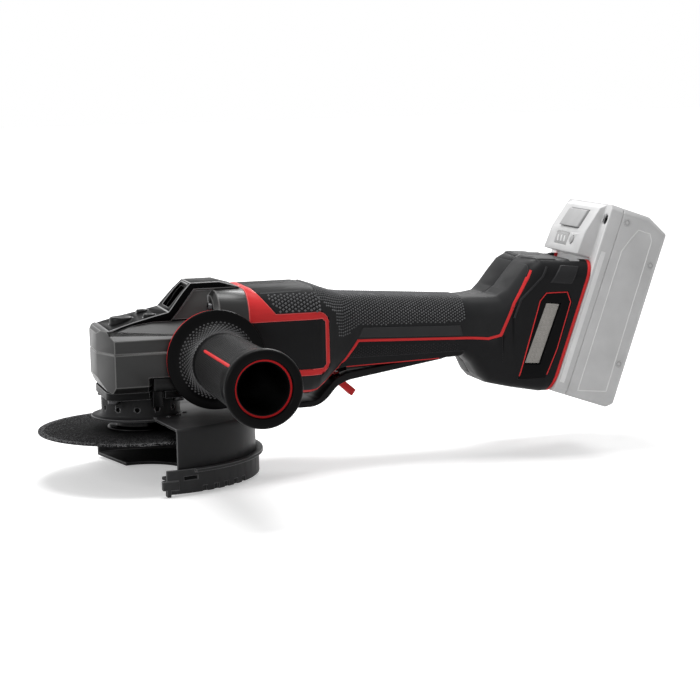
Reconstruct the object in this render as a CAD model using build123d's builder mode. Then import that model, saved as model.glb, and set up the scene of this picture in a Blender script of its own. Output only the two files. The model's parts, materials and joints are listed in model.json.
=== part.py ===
from build123d import *
from math import acos, cos, pi, radians, sin, sqrt, tan
import os

# A cordless 125 mm angle grinder, in millimetres.
# The origin is the free tip of the spindle. +X runs back to the battery, +Z is up,
# and the side handle stands out along -Y.

os.makedirs("parts", exist_ok=True)

# Fits
SLIP = 0.05
RUN = 0.08
PLAY = 0.3

# Wheel stack, from the spindle's tip upwards
SPINDLE_THREAD_RADIUS = 7.0
SPINDLE_TIP = 2.5
THREAD_RELIEF = 0.5
THREAD_RELIEF_DEPTH = 1.0
NUT_THICKNESS = 8.0
NUT_RADIUS = 20.0
NUT_PIN_HOLE_RADIUS = 2.5
NUT_PIN_SPACING = 30.0
DISC_RADIUS = 62.5
DISC_THICKNESS = 1.2
DISC_BORE_RADIUS = 11.115
FLANGE_RADIUS = 20.5
FLANGE_THICKNESS = 1.8
FLANGE_HUB_RADIUS = 15.0
FLANGE_HEIGHT = 7.8
SPINDLE_SHOULDER_RADIUS = 9.0
SPINDLE_RADIUS = 6.0
SPINDLE_TOP_RADIUS = 5.0

# Guard and its clip-on cover
GUARD_RADIUS = 69.2
GUARD_SHEET = 1.6
GUARD_START = -83.0
GUARD_SWEEP = 180.0
GUARD_PLATE_ABOVE_DISC = 8.5
GUARD_SKIRT_DEPTH = 24.5
GUARD_COLLAR_SHEET = 1.72
GUARD_FLARE_RADIUS = 30.0
CLIP_WALL = 1.8
CLIP_HEIGHT = 14.2
CLIP_LIP = 2.6
CLIP_PLATE = 2.0
CLIP_START = -89.0
CLIP_SWEEP = 193.0
CLIP_FLOOR_INSET = 14.0
CLIP_CUTOUT_RADIUS = 26.0
CLIP_HOOK = 2.4
CLIP_HOOK_BOTTOM = 2.6
CLIP_HOOK_TOP = 8.0
CLIP_PRONG = 1.4

# Gear head
NECK_RADIUS = 22.0
NECK_GAP = 1.5
NECK_LENGTH = 11.0
COVER_PLATE = 4.7
COVER_LENGTH = 48.0
COVER_WIDTH = 56.0
COVER_SCREW_OFFSET = 19.5
SCREW_RADIUS = 2.0
SCREW_HEAD_RADIUS = 3.5
SCREW_HEAD = 2.6
MOTOR_ABOVE_HEAD = 23.3
HEAD_FRONT = 27.6
HEAD_HALF_WIDTH = 33.0
HEAD_BACK = 42.0
GEAR_CAVITY_RADIUS = 22.8
GEAR_CAVITY_HEIGHT = 21.1
HEAD_FLANGE_START = 41.0
HEAD_FLANGE_END = 61.5
HANDLE_X = 39.4
HANDLE_BELOW_MOTOR = 4.6
HANDLE_BOSS_RADIUS = 10.0
HANDLE_BOSS_FACE = 37.0
HANDLE_THREAD_RADIUS = 4.0
HANDLE_THREAD_DEPTH = 16.0

# Bevel gears
GEAR_TEETH = 36
PINION_TEETH = 12
GEAR_PITCH_RADIUS = 20.0
GEAR_FACE = 6.0
PRESSURE_ANGLE = 20.0
PROFILE_SHIFT = 0.35
GEAR_BACKLASH = 0.3

# Ball bearings: bore radius, outer radius, width
LOWER_BEARING = (6.0, 16.0, 10.0)
UPPER_BEARING = (5.0, 7.0, 7.0)
FRONT_BEARING = (4.0, 11.0, 7.0)
REAR_BEARING = (3.0, 9.5, 6.0)

# Spindle lock
LOCK_OFFSET = 10.2
LOCK_PIN_RADIUS = 2.0
LOCK_TRAVEL = 4.0
LOCK_BUTTON_RADIUS = 6.9

# Motor
FRONT_BEARING_X = 40.0
REAR_BEARING_X = 108.0
STATOR_START = 68.0
STATOR_LENGTH = 30.0
STATOR_RADIUS = 26.0
AIR_GAP = 0.5
ROTOR_RADIUS = 13.8
SLOT_COUNT = 9
END_TURN = 5.0
FAN_START = 49.0
FAN_LENGTH = 9.5
FAN_RADIUS = 27.0
FAN_BLADES = 11
FAN_CHAMBER_START = 47.0
FAN_CHAMBER_RADIUS = 30.0

# Body, heights from the motor axis
BARREL_TOP = 34.6
BARREL_BOTTOM = -32.0
BARREL_HALF_WIDTH = 34.5
BARREL_CORNER = 17.0
BARREL_END = 100.0
GRIP_START = 128.0
GRIP_END = 203.0
GRIP_TOP_FRONT = 26.9
GRIP_TOP_REAR = 21.6
GRIP_BOTTOM = -16.3
GRIP_HALF_WIDTH = 22.0
GRIP_CORNER = 13.0
CHIN_END = 216.0
CHIN_BOTTOM = -33.0
NECK_REAR = 221.0
FOOT_START = 248.0
FOOT_END = 296.0
FOOT_TOP = 44.6
FOOT_TOP_REAR = 41.2
FOOT_BOTTOM = -39.2
FOOT_HALF_WIDTH = 37.0
FOOT_CORNER = 12.0
FLARE_END = 232.0
SKIN = 1.5
WALL = 3.2

# Battery seat and pack
BATTERY_TILT = 19.5
SEAT_X = 259.2
SEAT_BELOW_MOTOR = 24.5
RIM = 2.0
RIM_BAND = 3.2
SLOT_NECK_HALF = 24.5
SLOT_HALF = 29.5
SLOT_LIP = 5.0
SLOT_DEPTH = 13.0
SLOT_BOTTOM = -8.0
SEAT_WALL = 4.0
PACK_HALF_WIDTH = 37.0
PACK_BOTTOM = -14.8
PACK_TOP = 107.5
PACK_DEPTH = 43.0
PACK_SPLIT = 9.0
PACK_WALL = 2.2
CELL_RADIUS = 9.2
CELL_LENGTH = 65.0
CELL_PITCH = 18.6
CELL_COLUMNS = 5

# Switch paddle
PADDLE_HALF_WIDTH = 14.5
PADDLE_PIVOT_X = 193.0
PADDLE_PIVOT_DROP = 11.5
PADDLE_PIN_RADIUS = 2.0
PIN_HALF = 18.0
PLUNGER_X = 152.0

# Side handle, distances outwards along -Y
HANDLE_END = 161.0
HANDLE_FLANGE_RADIUS = 29.8
HANDLE_TUBE_RADIUS = 16.0
HANDLE_TUBE_WALL = 1.6
HANDLE_BARREL_RADIUS = 18.2
HANDLE_LIP_RADIUS = 22.0

# Heights that follow from the stack
nut_bottom = SPINDLE_TIP
disc_bottom = nut_bottom + NUT_THICKNESS
disc_top = disc_bottom + DISC_THICKNESS
flange_top = disc_top + FLANGE_HEIGHT
neck_bottom = flange_top + NECK_GAP
cover_bottom = neck_bottom + NECK_LENGTH
head_bottom = cover_bottom + COVER_PLATE
motor_z = head_bottom + MOTOR_ABOVE_HEAD
handle_z = motor_z - HANDLE_BELOW_MOTOR
guard_plate_top = disc_top + GUARD_PLATE_ABOVE_DISC
guard_skirt_bottom = guard_plate_top - GUARD_SKIRT_DEPTH

# Planes: across the motor axis, and the battery seat
slide_way = Vector(sin(radians(BATTERY_TILT)), 0, cos(radians(BATTERY_TILT)))
seat_normal = Vector(cos(radians(BATTERY_TILT)), 0, -sin(radians(BATTERY_TILT)))
seat_point = Vector(SEAT_X, 0, motor_z - SEAT_BELOW_MOTOR)
seat = Plane(origin=seat_point, x_dir=slide_way, z_dir=seat_normal)
pack_side = Plane(origin=seat_point, x_dir=slide_way, z_dir=(0, 1, 0))
motor_side = Plane(origin=(0, 0, motor_z), x_dir=(1, 0, 0), z_dir=(0, -1, 0))


def motor_plane(x):
    """A plane across the motor axis at x: local x is Y and local y is Z."""
    return Plane(origin=(x, 0, motor_z), x_dir=(0, 1, 0), z_dir=(1, 0, 0))


def finish(piece, name):
    piece.part.label = name
    export_step(piece.part, f"parts/{name}.step")


def ease(t):
    t = min(max(t, 0.0), 1.0)
    return t * t * (3 - 2 * t)


def blend(a, b, t):
    return a + (b - a) * t


def side_prism(points, half_depth, radius=0.0):
    """A prism through the tool along Y, from an outline (x, height over the motor axis)."""
    with BuildPart() as prism:
        with BuildSketch(motor_side):
            with BuildLine():
                if radius:
                    FilletPolyline(*points, radius=radius, close=True)
                else:
                    Polyline(*points, close=True)
            make_face()
        extrude(amount=half_depth, both=True)
    return prism.part


def ring(bottom, top, inner, outer):
    """A plain ring about the spindle."""
    with BuildPart() as part:
        with BuildSketch(Plane.XY.offset(bottom)):
            Circle(outer)
            Circle(inner, mode=Mode.SUBTRACT)
        extrude(amount=top - bottom)
    return part.part


def ball_bearing(plane, size):
    """A closed ball bearing with a shield groove on each face, its near face on the plane."""
    bore, outer, width = size
    groove_inner = bore + 0.3 * (outer - bore)
    groove_outer = bore + 0.7 * (outer - bore)
    groove_depth = 0.5
    with BuildPart() as bearing:
        with BuildSketch(plane):
            Circle(outer)
            Circle(bore + RUN, mode=Mode.SUBTRACT)
        extrude(amount=width)
        for face in (plane, plane.offset(width - groove_depth)):
            with BuildSketch(face):
                Circle(groove_outer)
                Circle(groove_inner, mode=Mode.SUBTRACT)
            extrude(amount=groove_depth, mode=Mode.SUBTRACT)
    return bearing


def screw(plane, length, head_radius=SCREW_HEAD_RADIUS, radius=SCREW_RADIUS):
    """A pan screw: its head stands on the plane's outer side and its shank goes in."""
    with BuildPart() as part:
        with BuildSketch(plane):
            Circle(head_radius)
        extrude(amount=SCREW_HEAD)
        with BuildSketch(plane):
            Circle(radius)
        extrude(amount=-length)
        with BuildSketch(plane.offset(SCREW_HEAD)):
            RegularPolygon(head_radius * 0.5, 6)
        extrude(amount=-SCREW_HEAD * 0.6, mode=Mode.SUBTRACT)
    return part.part


# Body lofts: sections from the gear head to the battery seat

def body_section(x):
    """Top, bottom, half width and corner radius of the body at x, from the motor axis."""
    shoulder = ease((x - BARREL_END) / (GRIP_START - BARREL_END))
    along_grip = min(max((x - GRIP_START) / (GRIP_END - GRIP_START), 0.0), 1.0)
    crest = ease((x - NECK_REAR) / (FOOT_START - NECK_REAR))
    chin = ease((x - GRIP_END) / (CHIN_END - GRIP_END))
    sole = min(max((x - CHIN_END) / (FOOT_START - CHIN_END), 0.0), 1.0)
    flare = ease((x - GRIP_END) / (FLARE_END - GRIP_END))
    back = min(max((x - FOOT_START) / (FOOT_END - FOOT_START), 0.0), 1.0)
    top = blend(BARREL_TOP, GRIP_TOP_FRONT, shoulder)
    top += (GRIP_TOP_REAR - GRIP_TOP_FRONT) * along_grip
    top += (FOOT_TOP - GRIP_TOP_REAR) * crest
    top += (FOOT_TOP_REAR - FOOT_TOP) * back
    bottom = blend(BARREL_BOTTOM, GRIP_BOTTOM, shoulder)
    bottom += (CHIN_BOTTOM - GRIP_BOTTOM) * chin
    bottom += (FOOT_BOTTOM - CHIN_BOTTOM) * sole
    half_width = blend(BARREL_HALF_WIDTH, GRIP_HALF_WIDTH, shoulder)
    half_width += (FOOT_HALF_WIDTH - GRIP_HALF_WIDTH) * flare
    corner = blend(BARREL_CORNER, GRIP_CORNER, shoulder)
    corner += (FOOT_CORNER - GRIP_CORNER) * flare
    return top, bottom, half_width, corner


def body_stations():
    """Where the sections stand: close together only where the outline turns."""
    shoulder = [blend(BARREL_END, GRIP_START, t / 5) for t in range(1, 6)]
    chin = [blend(GRIP_END, CHIN_END, t / 3) for t in range(4)]
    crest = [blend(CHIN_END, FOOT_START, t / 5) for t in range(1, 6)]
    return [HEAD_FLANGE_END, BARREL_END] + shoulder + chin + crest + [FOOT_END]


def body(inset):
    with BuildPart() as loft_part:
        for x in body_stations():
            top, bottom, half_width, corner = body_section(x)
            middle = motor_z + (top + bottom) / 2
            plane = Plane(origin=(x, 0, middle), x_dir=(0, 1, 0), z_dir=(1, 0, 0))
            with BuildSketch(plane):
                RectangleRounded(2 * (half_width - inset), top - bottom - 2 * inset, corner - inset)
        loft(ruled=True)
    return loft_part.part


outer_body = body(0.0)
core_body = body(SKIN)
cavity_body = body(WALL)

REACH = 400.0
with BuildPart() as left_space:
    with BuildSketch(Plane.XY.offset(-REACH)):
        with Locations((0, -REACH / 2)):
            Rectangle(2 * REACH, REACH)
    extrude(amount=2 * REACH)

with BuildPart() as foot_space:
    with BuildSketch(seat.offset(-RIM)):
        Rectangle(REACH, REACH)
    extrude(amount=-REACH)

with BuildPart() as inner_space:
    with BuildSketch(seat.offset(-SLOT_DEPTH - SEAT_WALL)):
        Rectangle(REACH, REACH)
    extrude(amount=-REACH)

# Fields of the side view, as outlines over the motor axis
FIELD_TOP = 15.0
FIELD_BOTTOM = -14.8
FIELD_REAR = 109.2
FRAME_BAND_TOP = 4.7
FRAME_BAND = 3.0
FRAME_BAND_BOTTOM = 4.2
COLLAR_WIDTH = 4.5
COLLAR_FOOT_X = 78.0
STRIPE = 1.7
BELLY_LINE = -28.6
STRIPE_FRONT = (132.0, -0.2)
STRIPE_REAR = (215.0, -3.2)
STRIPE_RISE = (228.5, 18.5)
STRIPE_TOP = (240.5, 38.0)
STRIPE_END = 34.0

front_of_body = HEAD_FLANGE_END - 2.0
over_body = FOOT_TOP + 10.0
under_body = FOOT_BOTTOM - 10.0
frame_top = FIELD_TOP + FRAME_BAND_TOP
frame_bottom = FIELD_BOTTOM - FRAME_BAND_BOTTOM
frame_rear = FIELD_REAR + FRAME_BAND
collar_rear = HEAD_FLANGE_END + COLLAR_WIDTH

red_outline = [
    (front_of_body, over_body),
    (collar_rear, over_body),
    (collar_rear, BARREL_TOP),
    (COLLAR_FOOT_X, frame_top),
    (frame_rear - 5, frame_top),
    (frame_rear, frame_top - 5),
    (frame_rear, frame_bottom + 5),
    (frame_rear - 5, frame_bottom),
    (COLLAR_FOOT_X, frame_bottom),
    (collar_rear, BARREL_BOTTOM),
    (collar_rear, under_body),
    (front_of_body, under_body),
]
field_outline = [
    (front_of_body, FIELD_TOP),
    (FIELD_REAR - 2, FIELD_TOP),
    (FIELD_REAR, FIELD_TOP - 2),
    (FIELD_REAR, FIELD_BOTTOM + 2),
    (FIELD_REAR - 2, FIELD_BOTTOM),
    (front_of_body, FIELD_BOTTOM),
]
soft_outline = [
    (front_of_body, over_body),
    (front_of_body, BELLY_LINE),
    (104.0, BELLY_LINE),
    (119.0, -18.0),
    (123.5, -12.5),
    STRIPE_FRONT,
    STRIPE_REAR,
    (221.0, -1.0),
    STRIPE_RISE,
    STRIPE_TOP,
    (245.5, over_body),
]

DEEP = 80.0
red_prism = side_prism(red_outline, DEEP)
field_prism = side_prism(field_outline, DEEP)
soft_prism = side_prism(soft_outline, DEEP)
with BuildPart() as striped:
    with BuildSketch(motor_side):
        with BuildLine():
            Polyline(*soft_outline, close=True)
        make_face()
        offset(amount=STRIPE, kind=Kind.INTERSECTION)
    extrude(amount=DEEP, both=True)

with BuildPart() as skin_left:
    add(outer_body)
    add(core_body, mode=Mode.SUBTRACT)
    add(left_space.part, mode=Mode.INTERSECT)
    add(foot_space.part, mode=Mode.INTERSECT)


def both_sides(left, name):
    """Write the left piece and its mirror image."""
    finish(left, f"{name}_left")
    with BuildPart() as right:
        add(left.part)
        mirror(about=Plane.XZ, mode=Mode.REPLACE)
    finish(right, f"{name}_right")


with BuildPart() as trim_frame_left:
    add(skin_left.part)
    add(red_prism, mode=Mode.INTERSECT)
    add(field_prism, mode=Mode.SUBTRACT)
both_sides(trim_frame_left, "trim_frame")

with BuildPart() as side_panel_left:
    add(skin_left.part)
    add(field_prism, mode=Mode.INTERSECT)
both_sides(side_panel_left, "side_panel")

with BuildPart() as grip_overmold_left:
    add(skin_left.part)
    add(soft_prism, mode=Mode.INTERSECT)
    add(red_prism, mode=Mode.SUBTRACT)
both_sides(grip_overmold_left, "grip_overmold")

with BuildPart() as grip_stripe_left:
    add(skin_left.part)
    add(striped.part, mode=Mode.INTERSECT)
    add(soft_prism, mode=Mode.SUBTRACT)
    add(red_prism, mode=Mode.SUBTRACT)
    with BuildSketch(Plane.XY.offset(motor_z + STRIPE_END)):
        Rectangle(4 * REACH, REACH)
    extrude(amount=REACH, mode=Mode.SUBTRACT)
both_sides(grip_stripe_left, "grip_stripe")

# Half shells of the body, with their ribs, bosses, filter window and battery slot
FILTER_OUTLINE = [
    (250.0, 24.4),
    (265.0, 24.4),
    (267.5, 17.0),
    (257.5, -13.0),
    (249.0, -29.5),
    (231.0, -29.5),
    (246.0, 20.0),
]
MESH_OUTLINE = [(250.2, 18.2), (260.2, 17.0), (245.8, -21.1), (235.2, -20.4)]
FILTER_DEPTH = 2.0
MESH_SHEET = 0.6
MESH_LAP = 1.2
filter_floor = FOOT_HALF_WIDTH - FILTER_DEPTH
RIB = 3.0
BOSS_RADIUS = 4.4
HEAD_SCREW_OFFSET = 24.0
HEAD_SCREW_DEPTH = 16.0
SHELL_SCREWS = [(137.0, -9.5), (184.0, -7.0), (222.0, -25.0), (252.0, 35.0)]
SHELL_SCREW_RADIUS = 1.6
SHELL_SCREW_HEAD_RADIUS = 3.0
SHELL_SCREW_SEAT = 12.0
SHELL_SCREW_LENGTH = 22.0
CHANNEL_CLEARANCE = 0.8
CHANNEL_WALL = 2.0
channel_half = PADDLE_HALF_WIDTH + CHANNEL_CLEARANCE
TERMINAL_HALF = 14.0
TERMINAL_BOTTOM = 6.0
TERMINAL_TOP = 36.0

channel_outline = [
    (118.0, -40.0),
    (118.0, -13.6),
    (166.0, -13.4),
    (184.0, -11.4),
    (188.0, -5.5),
    (199.0, -5.5),
    (199.0, -40.0),
]
channel_roof_outline = [
    (112.0, -20.0),
    (112.0, -13.6 + CHANNEL_WALL),
    (166.0, -13.4 + CHANNEL_WALL),
    (184.0, -11.4 + CHANNEL_WALL),
    (188.0, -5.5 + CHANNEL_WALL),
    (202.0, -5.5 + CHANNEL_WALL),
    (202.0, -20.0),
]
channel_prism = side_prism(channel_outline, channel_half)
channel_roof = side_prism(channel_roof_outline, channel_half + CHANNEL_WALL)

with BuildPart() as battery_slot:
    with BuildSketch(seat):
        with Locations((SLOT_BOTTOM, 0)):
            Rectangle(REACH / 4, 2 * SLOT_NECK_HALF, align=(Align.MIN, Align.CENTER))
    extrude(amount=-SLOT_DEPTH)
    with BuildSketch(seat.offset(-SLOT_LIP)):
        with Locations((SLOT_BOTTOM, 0)):
            Rectangle(REACH / 4, 2 * SLOT_HALF, align=(Align.MIN, Align.CENTER))
    extrude(amount=SLOT_LIP - SLOT_DEPTH)

with BuildPart() as cavity:
    add(cavity_body)
    add(inner_space.part, mode=Mode.INTERSECT)

with BuildPart() as ribs:
    for x in (STATOR_START + 2, STATOR_START + STATOR_LENGTH - 2 - RIB):
        with BuildSketch(motor_plane(x)):
            Circle(REACH / 4)
            Circle(STATOR_RADIUS + SLIP, mode=Mode.SUBTRACT)
        extrude(amount=RIB)
    with BuildSketch(motor_plane(REAR_BEARING_X)):
        Circle(REACH / 4)
        Circle(REAR_BEARING[1] + SLIP, mode=Mode.SUBTRACT)
    extrude(amount=REAR_BEARING[2])
    with BuildSketch(motor_plane(REAR_BEARING_X + REAR_BEARING[2])):
        Circle(REACH / 4)
        Circle(REAR_BEARING[0] + 2, mode=Mode.SUBTRACT)
    extrude(amount=RIB)
    with BuildSketch(motor_plane(HEAD_FLANGE_END)):
        with GridLocations(2 * HEAD_SCREW_OFFSET, 2 * HEAD_SCREW_OFFSET, 2, 2):
            Circle(BOSS_RADIUS)
    extrude(amount=HEAD_SCREW_DEPTH)
    for x, height in SHELL_SCREWS:
        with BuildSketch(motor_side):
            with Locations((x, height)):
                Circle(BOSS_RADIUS)
        extrude(amount=DEEP, both=True)
    with BuildSketch(motor_side):
        with Locations((PADDLE_PIVOT_X, -PADDLE_PIVOT_DROP)):
            Circle(BOSS_RADIUS)
    extrude(amount=DEEP, both=True)
    add(core_body, mode=Mode.INTERSECT)
    add(inner_space.part, mode=Mode.INTERSECT)

filter_pocket = side_prism(FILTER_OUTLINE, DEEP)
with BuildPart() as mesh_window:
    with BuildSketch(motor_side):
        with BuildLine():
            Polyline(*MESH_OUTLINE, close=True)
        make_face()
        offset(amount=MESH_LAP, kind=Kind.INTERSECTION)
    extrude(amount=DEEP, both=True)

with BuildPart() as filter_layer:
    with BuildSketch(Plane.XY.offset(-REACH)):
        with Locations((0, -filter_floor - REACH / 2)):
            Rectangle(2 * REACH, REACH)
    extrude(amount=2 * REACH)

with BuildPart() as shell_left:
    add(outer_body)
    add(foot_space.part, mode=Mode.INTERSECT)
    add(cavity.part, mode=Mode.SUBTRACT)
    add(channel_roof)
    add(ribs.part)
    add(outer_body, mode=Mode.INTERSECT)
    add(left_space.part, mode=Mode.INTERSECT)
    for layer in (trim_frame_left, side_panel_left, grip_overmold_left, grip_stripe_left):
        add(layer.part, mode=Mode.SUBTRACT)
    add(channel_prism, mode=Mode.SUBTRACT)
    add(battery_slot.part, mode=Mode.SUBTRACT)
    with BuildSketch(seat):
        with Locations(((TERMINAL_BOTTOM + TERMINAL_TOP) / 2, 0)):
            Rectangle(TERMINAL_TOP - TERMINAL_BOTTOM, 2 * TERMINAL_HALF)
    extrude(amount=-SLOT_DEPTH - SEAT_WALL - 1, mode=Mode.SUBTRACT)
    with BuildSketch(motor_plane(HEAD_FLANGE_END)):
        with GridLocations(2 * HEAD_SCREW_OFFSET, 2 * HEAD_SCREW_OFFSET, 2, 2):
            Circle(SCREW_RADIUS + SLIP)
    extrude(amount=HEAD_SCREW_DEPTH - 1, mode=Mode.SUBTRACT)
    with BuildSketch(motor_side):
        with Locations(*SHELL_SCREWS):
            Circle(SHELL_SCREW_RADIUS + SLIP)
    extrude(amount=SHELL_SCREW_LENGTH - SHELL_SCREW_SEAT, mode=Mode.SUBTRACT)
    with BuildSketch(motor_side):
        with Locations((PADDLE_PIVOT_X, -PADDLE_PIVOT_DROP)):
            Circle(PADDLE_PIN_RADIUS + SLIP)
    extrude(amount=PIN_HALF + 2 * SLIP, mode=Mode.SUBTRACT)
    with BuildSketch(Plane.XY.offset(motor_z)):
        with Locations((PLUNGER_X, 0)):
            Rectangle(9, 9)
    extrude(amount=-40, mode=Mode.SUBTRACT)

with BuildPart() as left_pocket:
    add(filter_pocket)
    add(filter_layer.part, mode=Mode.INTERSECT)

with BuildPart() as housing_left:
    add(shell_left.part)
    add(left_pocket.part, mode=Mode.SUBTRACT)
    add(mesh_window.part, mode=Mode.SUBTRACT)
finish(housing_left, "housing_left")

with BuildPart() as housing_right:
    add(housing_left.part)
    mirror(about=Plane.XZ, mode=Mode.REPLACE)
    with BuildSketch(motor_side):
        with Locations(*SHELL_SCREWS):
            Circle(SHELL_SCREW_RADIUS + SLIP)
    extrude(amount=-DEEP, mode=Mode.SUBTRACT)
    with BuildSketch(motor_side.offset(-SHELL_SCREW_SEAT)):
        with Locations(*SHELL_SCREWS):
            Circle(SHELL_SCREW_HEAD_RADIUS + PLAY)
    extrude(amount=-DEEP, mode=Mode.SUBTRACT)
finish(housing_right, "housing_right")

with BuildPart() as housing_screws:
    for x, height in SHELL_SCREWS:
        seat_plane = Plane(origin=(x, SHELL_SCREW_SEAT, motor_z + height), z_dir=(0, 1, 0))
        add(screw(seat_plane, SHELL_SCREW_LENGTH - 1, SHELL_SCREW_HEAD_RADIUS, SHELL_SCREW_RADIUS))
finish(housing_screws, "housing_screws")

with BuildPart() as filter_frame_left:
    add(outer_body)
    add(filter_pocket, mode=Mode.INTERSECT)
    add(filter_layer.part, mode=Mode.INTERSECT)
    add(foot_space.part, mode=Mode.INTERSECT)
    with BuildSketch(motor_side):
        with BuildLine():
            Polyline(*MESH_OUTLINE, close=True)
        make_face()
    extrude(amount=DEEP, mode=Mode.SUBTRACT)
    with BuildSketch(motor_side.offset(filter_floor)):
        with BuildLine():
            Polyline(*MESH_OUTLINE, close=True)
        make_face()
        offset(amount=MESH_LAP - SLIP, kind=Kind.INTERSECTION)
    extrude(amount=MESH_SHEET, mode=Mode.SUBTRACT)
both_sides(filter_frame_left, "filter_frame")

MESH_ROWS = 11
MESH_COLUMNS = 4
with BuildPart() as filter_mesh_left:
    with BuildSketch(motor_side.offset(filter_floor)):
        with BuildLine():
            Polyline(*MESH_OUTLINE, close=True)
        make_face()
        offset(amount=MESH_LAP - 2 * SLIP, kind=Kind.INTERSECTION)
        for row in range(MESH_ROWS):
            for column in range(MESH_COLUMNS):
                down = (row + 0.5) / MESH_ROWS
                across = (column + 0.5) / MESH_COLUMNS
                (ax, az), (bx, bz), (cx, cz), (dx, dz) = MESH_OUTLINE
                hole_x = blend(blend(ax, bx, across), blend(dx, cx, across), down)
                hole_z = blend(blend(az, bz, across), blend(dz, cz, across), down)
                with Locations((hole_x, hole_z)):
                    Rectangle(1.7, 2.6, mode=Mode.SUBTRACT)
    extrude(amount=MESH_SHEET - SLIP)
both_sides(filter_mesh_left, "filter_mesh")

with BuildPart() as rim_layer:
    with BuildSketch(seat.offset(-RIM)):
        Rectangle(REACH, REACH)
    extrude(amount=RIM)

with BuildPart() as battery_rim:
    add(outer_body)
    add(rim_layer.part, mode=Mode.INTERSECT)
    add(body(RIM_BAND), mode=Mode.SUBTRACT)
    add(battery_slot.part, mode=Mode.SUBTRACT)
finish(battery_rim, "battery_rim")


# Gear head: a faceted casting, cut from its side, front and plan outlines
HEAD_EDGE = 8.5
HEAD_FACET_ANGLE = 30.0
HEAD_SHORT_FRONT = 13.0
HEAD_CORNER_X = 20.0
HEAD_BOTTOM_CHAMFER = 4.0
HOOD = 2.2
HOOD_LINE = [(-21.7, 13.8), (-7.0, 17.7), (15.6, 22.7), (24.9, 33.6), (30.4, 39.0)]
HOOD_BACK = [(48.4, 39.0), (59.9, 35.5), (61.2, 33.0)]
HOOD_FRONT_HALF = 23.5
HOOD_HALF = 18.5
HOOD_TOP_HALF = 13.0
FLANGE_INSET = 0.4
FLANGE_CHAMFER = 3.0
PINION_TUNNEL_RADIUS = 8.2
PINION_TUNNEL_START = 10.5
UPPER_BEARING_ABOVE = 1.5
LOCK_FLOOR = 9.8
LEVER_PIVOT = (18.0, -29.0)
LEVER_PIVOT_RADIUS = 1.6
LEVER_STUB = 6.0
HOOD_SCREW = (5.0, 12.0)
HOOD_SCREW_SEAT = 18.9
HOOD_SCREW_LENGTH = 9.0
lever_notch_top = head_bottom + 8.9
facet_rise = tan(radians(HEAD_FACET_ANGLE))

(h0x, h0z), (h1x, h1z), (h2x, h2z) = HOOD_LINE[:3]
head_side = [
    (-HEAD_FRONT, -15.0),
    (-HEAD_FRONT + 4.0, -MOTOR_ABOVE_HEAD + 1.0),
    (-HEAD_FRONT + 7.0, -MOTOR_ABOVE_HEAD),
    (HEAD_BACK, -MOTOR_ABOVE_HEAD),
    (HEAD_BACK, h2z - HOOD),
    (h2x, h2z - HOOD),
    (h1x, h1z - HOOD),
    (h0x, h0z - HOOD),
    (h0x, h0z),
    (-HEAD_FRONT + 2.0, h0z),
    (-HEAD_FRONT, h0z - 2.0),
]
head_ridge_half = HEAD_HALF_WIDTH - (h2z + 2 - HEAD_EDGE) / facet_rise
head_end = [
    (HEAD_HALF_WIDTH - HEAD_BOTTOM_CHAMFER, -MOTOR_ABOVE_HEAD),
    (HEAD_HALF_WIDTH, -MOTOR_ABOVE_HEAD + HEAD_BOTTOM_CHAMFER),
    (HEAD_HALF_WIDTH, HEAD_EDGE),
    (head_ridge_half, h2z + 2),
]
head_plan = [
    (HEAD_BACK, HEAD_HALF_WIDTH),
    (-HEAD_CORNER_X, HEAD_HALF_WIDTH),
    (-HEAD_FRONT, HEAD_SHORT_FRONT),
]


def mirrored(half):
    """A closed outline from its half on the first coordinate's positive side."""
    return half + [(-x, z) for x, z in reversed(half)]


with BuildPart() as head_block:
    add(side_prism(head_side, DEEP))
    with BuildSketch(motor_plane(-REACH / 4)):
        with BuildLine():
            Polyline(*mirrored(head_end), close=True)
        make_face()
    extrude(amount=REACH / 2, mode=Mode.INTERSECT)
    with BuildSketch(Plane.XY):
        with BuildLine():
            Polyline(*(head_plan + [(x, -y) for x, y in reversed(head_plan)]), close=True)
        make_face()
    extrude(amount=REACH / 2, mode=Mode.INTERSECT)

barrel_middle = (BARREL_TOP + BARREL_BOTTOM) / 2
with BuildPart() as head_flange:
    with BuildSketch(motor_plane(HEAD_FLANGE_START)):
        with Locations((0, barrel_middle)):
            RectangleRounded(
                2 * (BARREL_HALF_WIDTH - FLANGE_INSET),
                BARREL_TOP - BARREL_BOTTOM - 2 * FLANGE_INSET,
                BARREL_CORNER - FLANGE_INSET,
            )
    extrude(amount=HEAD_FLANGE_END - HEAD_FLANGE_START)
    chamfer(faces().sort_by(Axis.X)[0].edges(), length=FLANGE_CHAMFER)

handle_plane = Plane(origin=(HANDLE_X, 0, handle_z), x_dir=(1, 0, 0), z_dir=(0, -1, 0))
with BuildPart() as head_solid:
    add(head_block.part)
    add(head_flange.part)
    with BuildSketch(handle_plane):
        Circle(HANDLE_BOSS_RADIUS)
    extrude(amount=HANDLE_BOSS_FACE, both=True)

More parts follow.
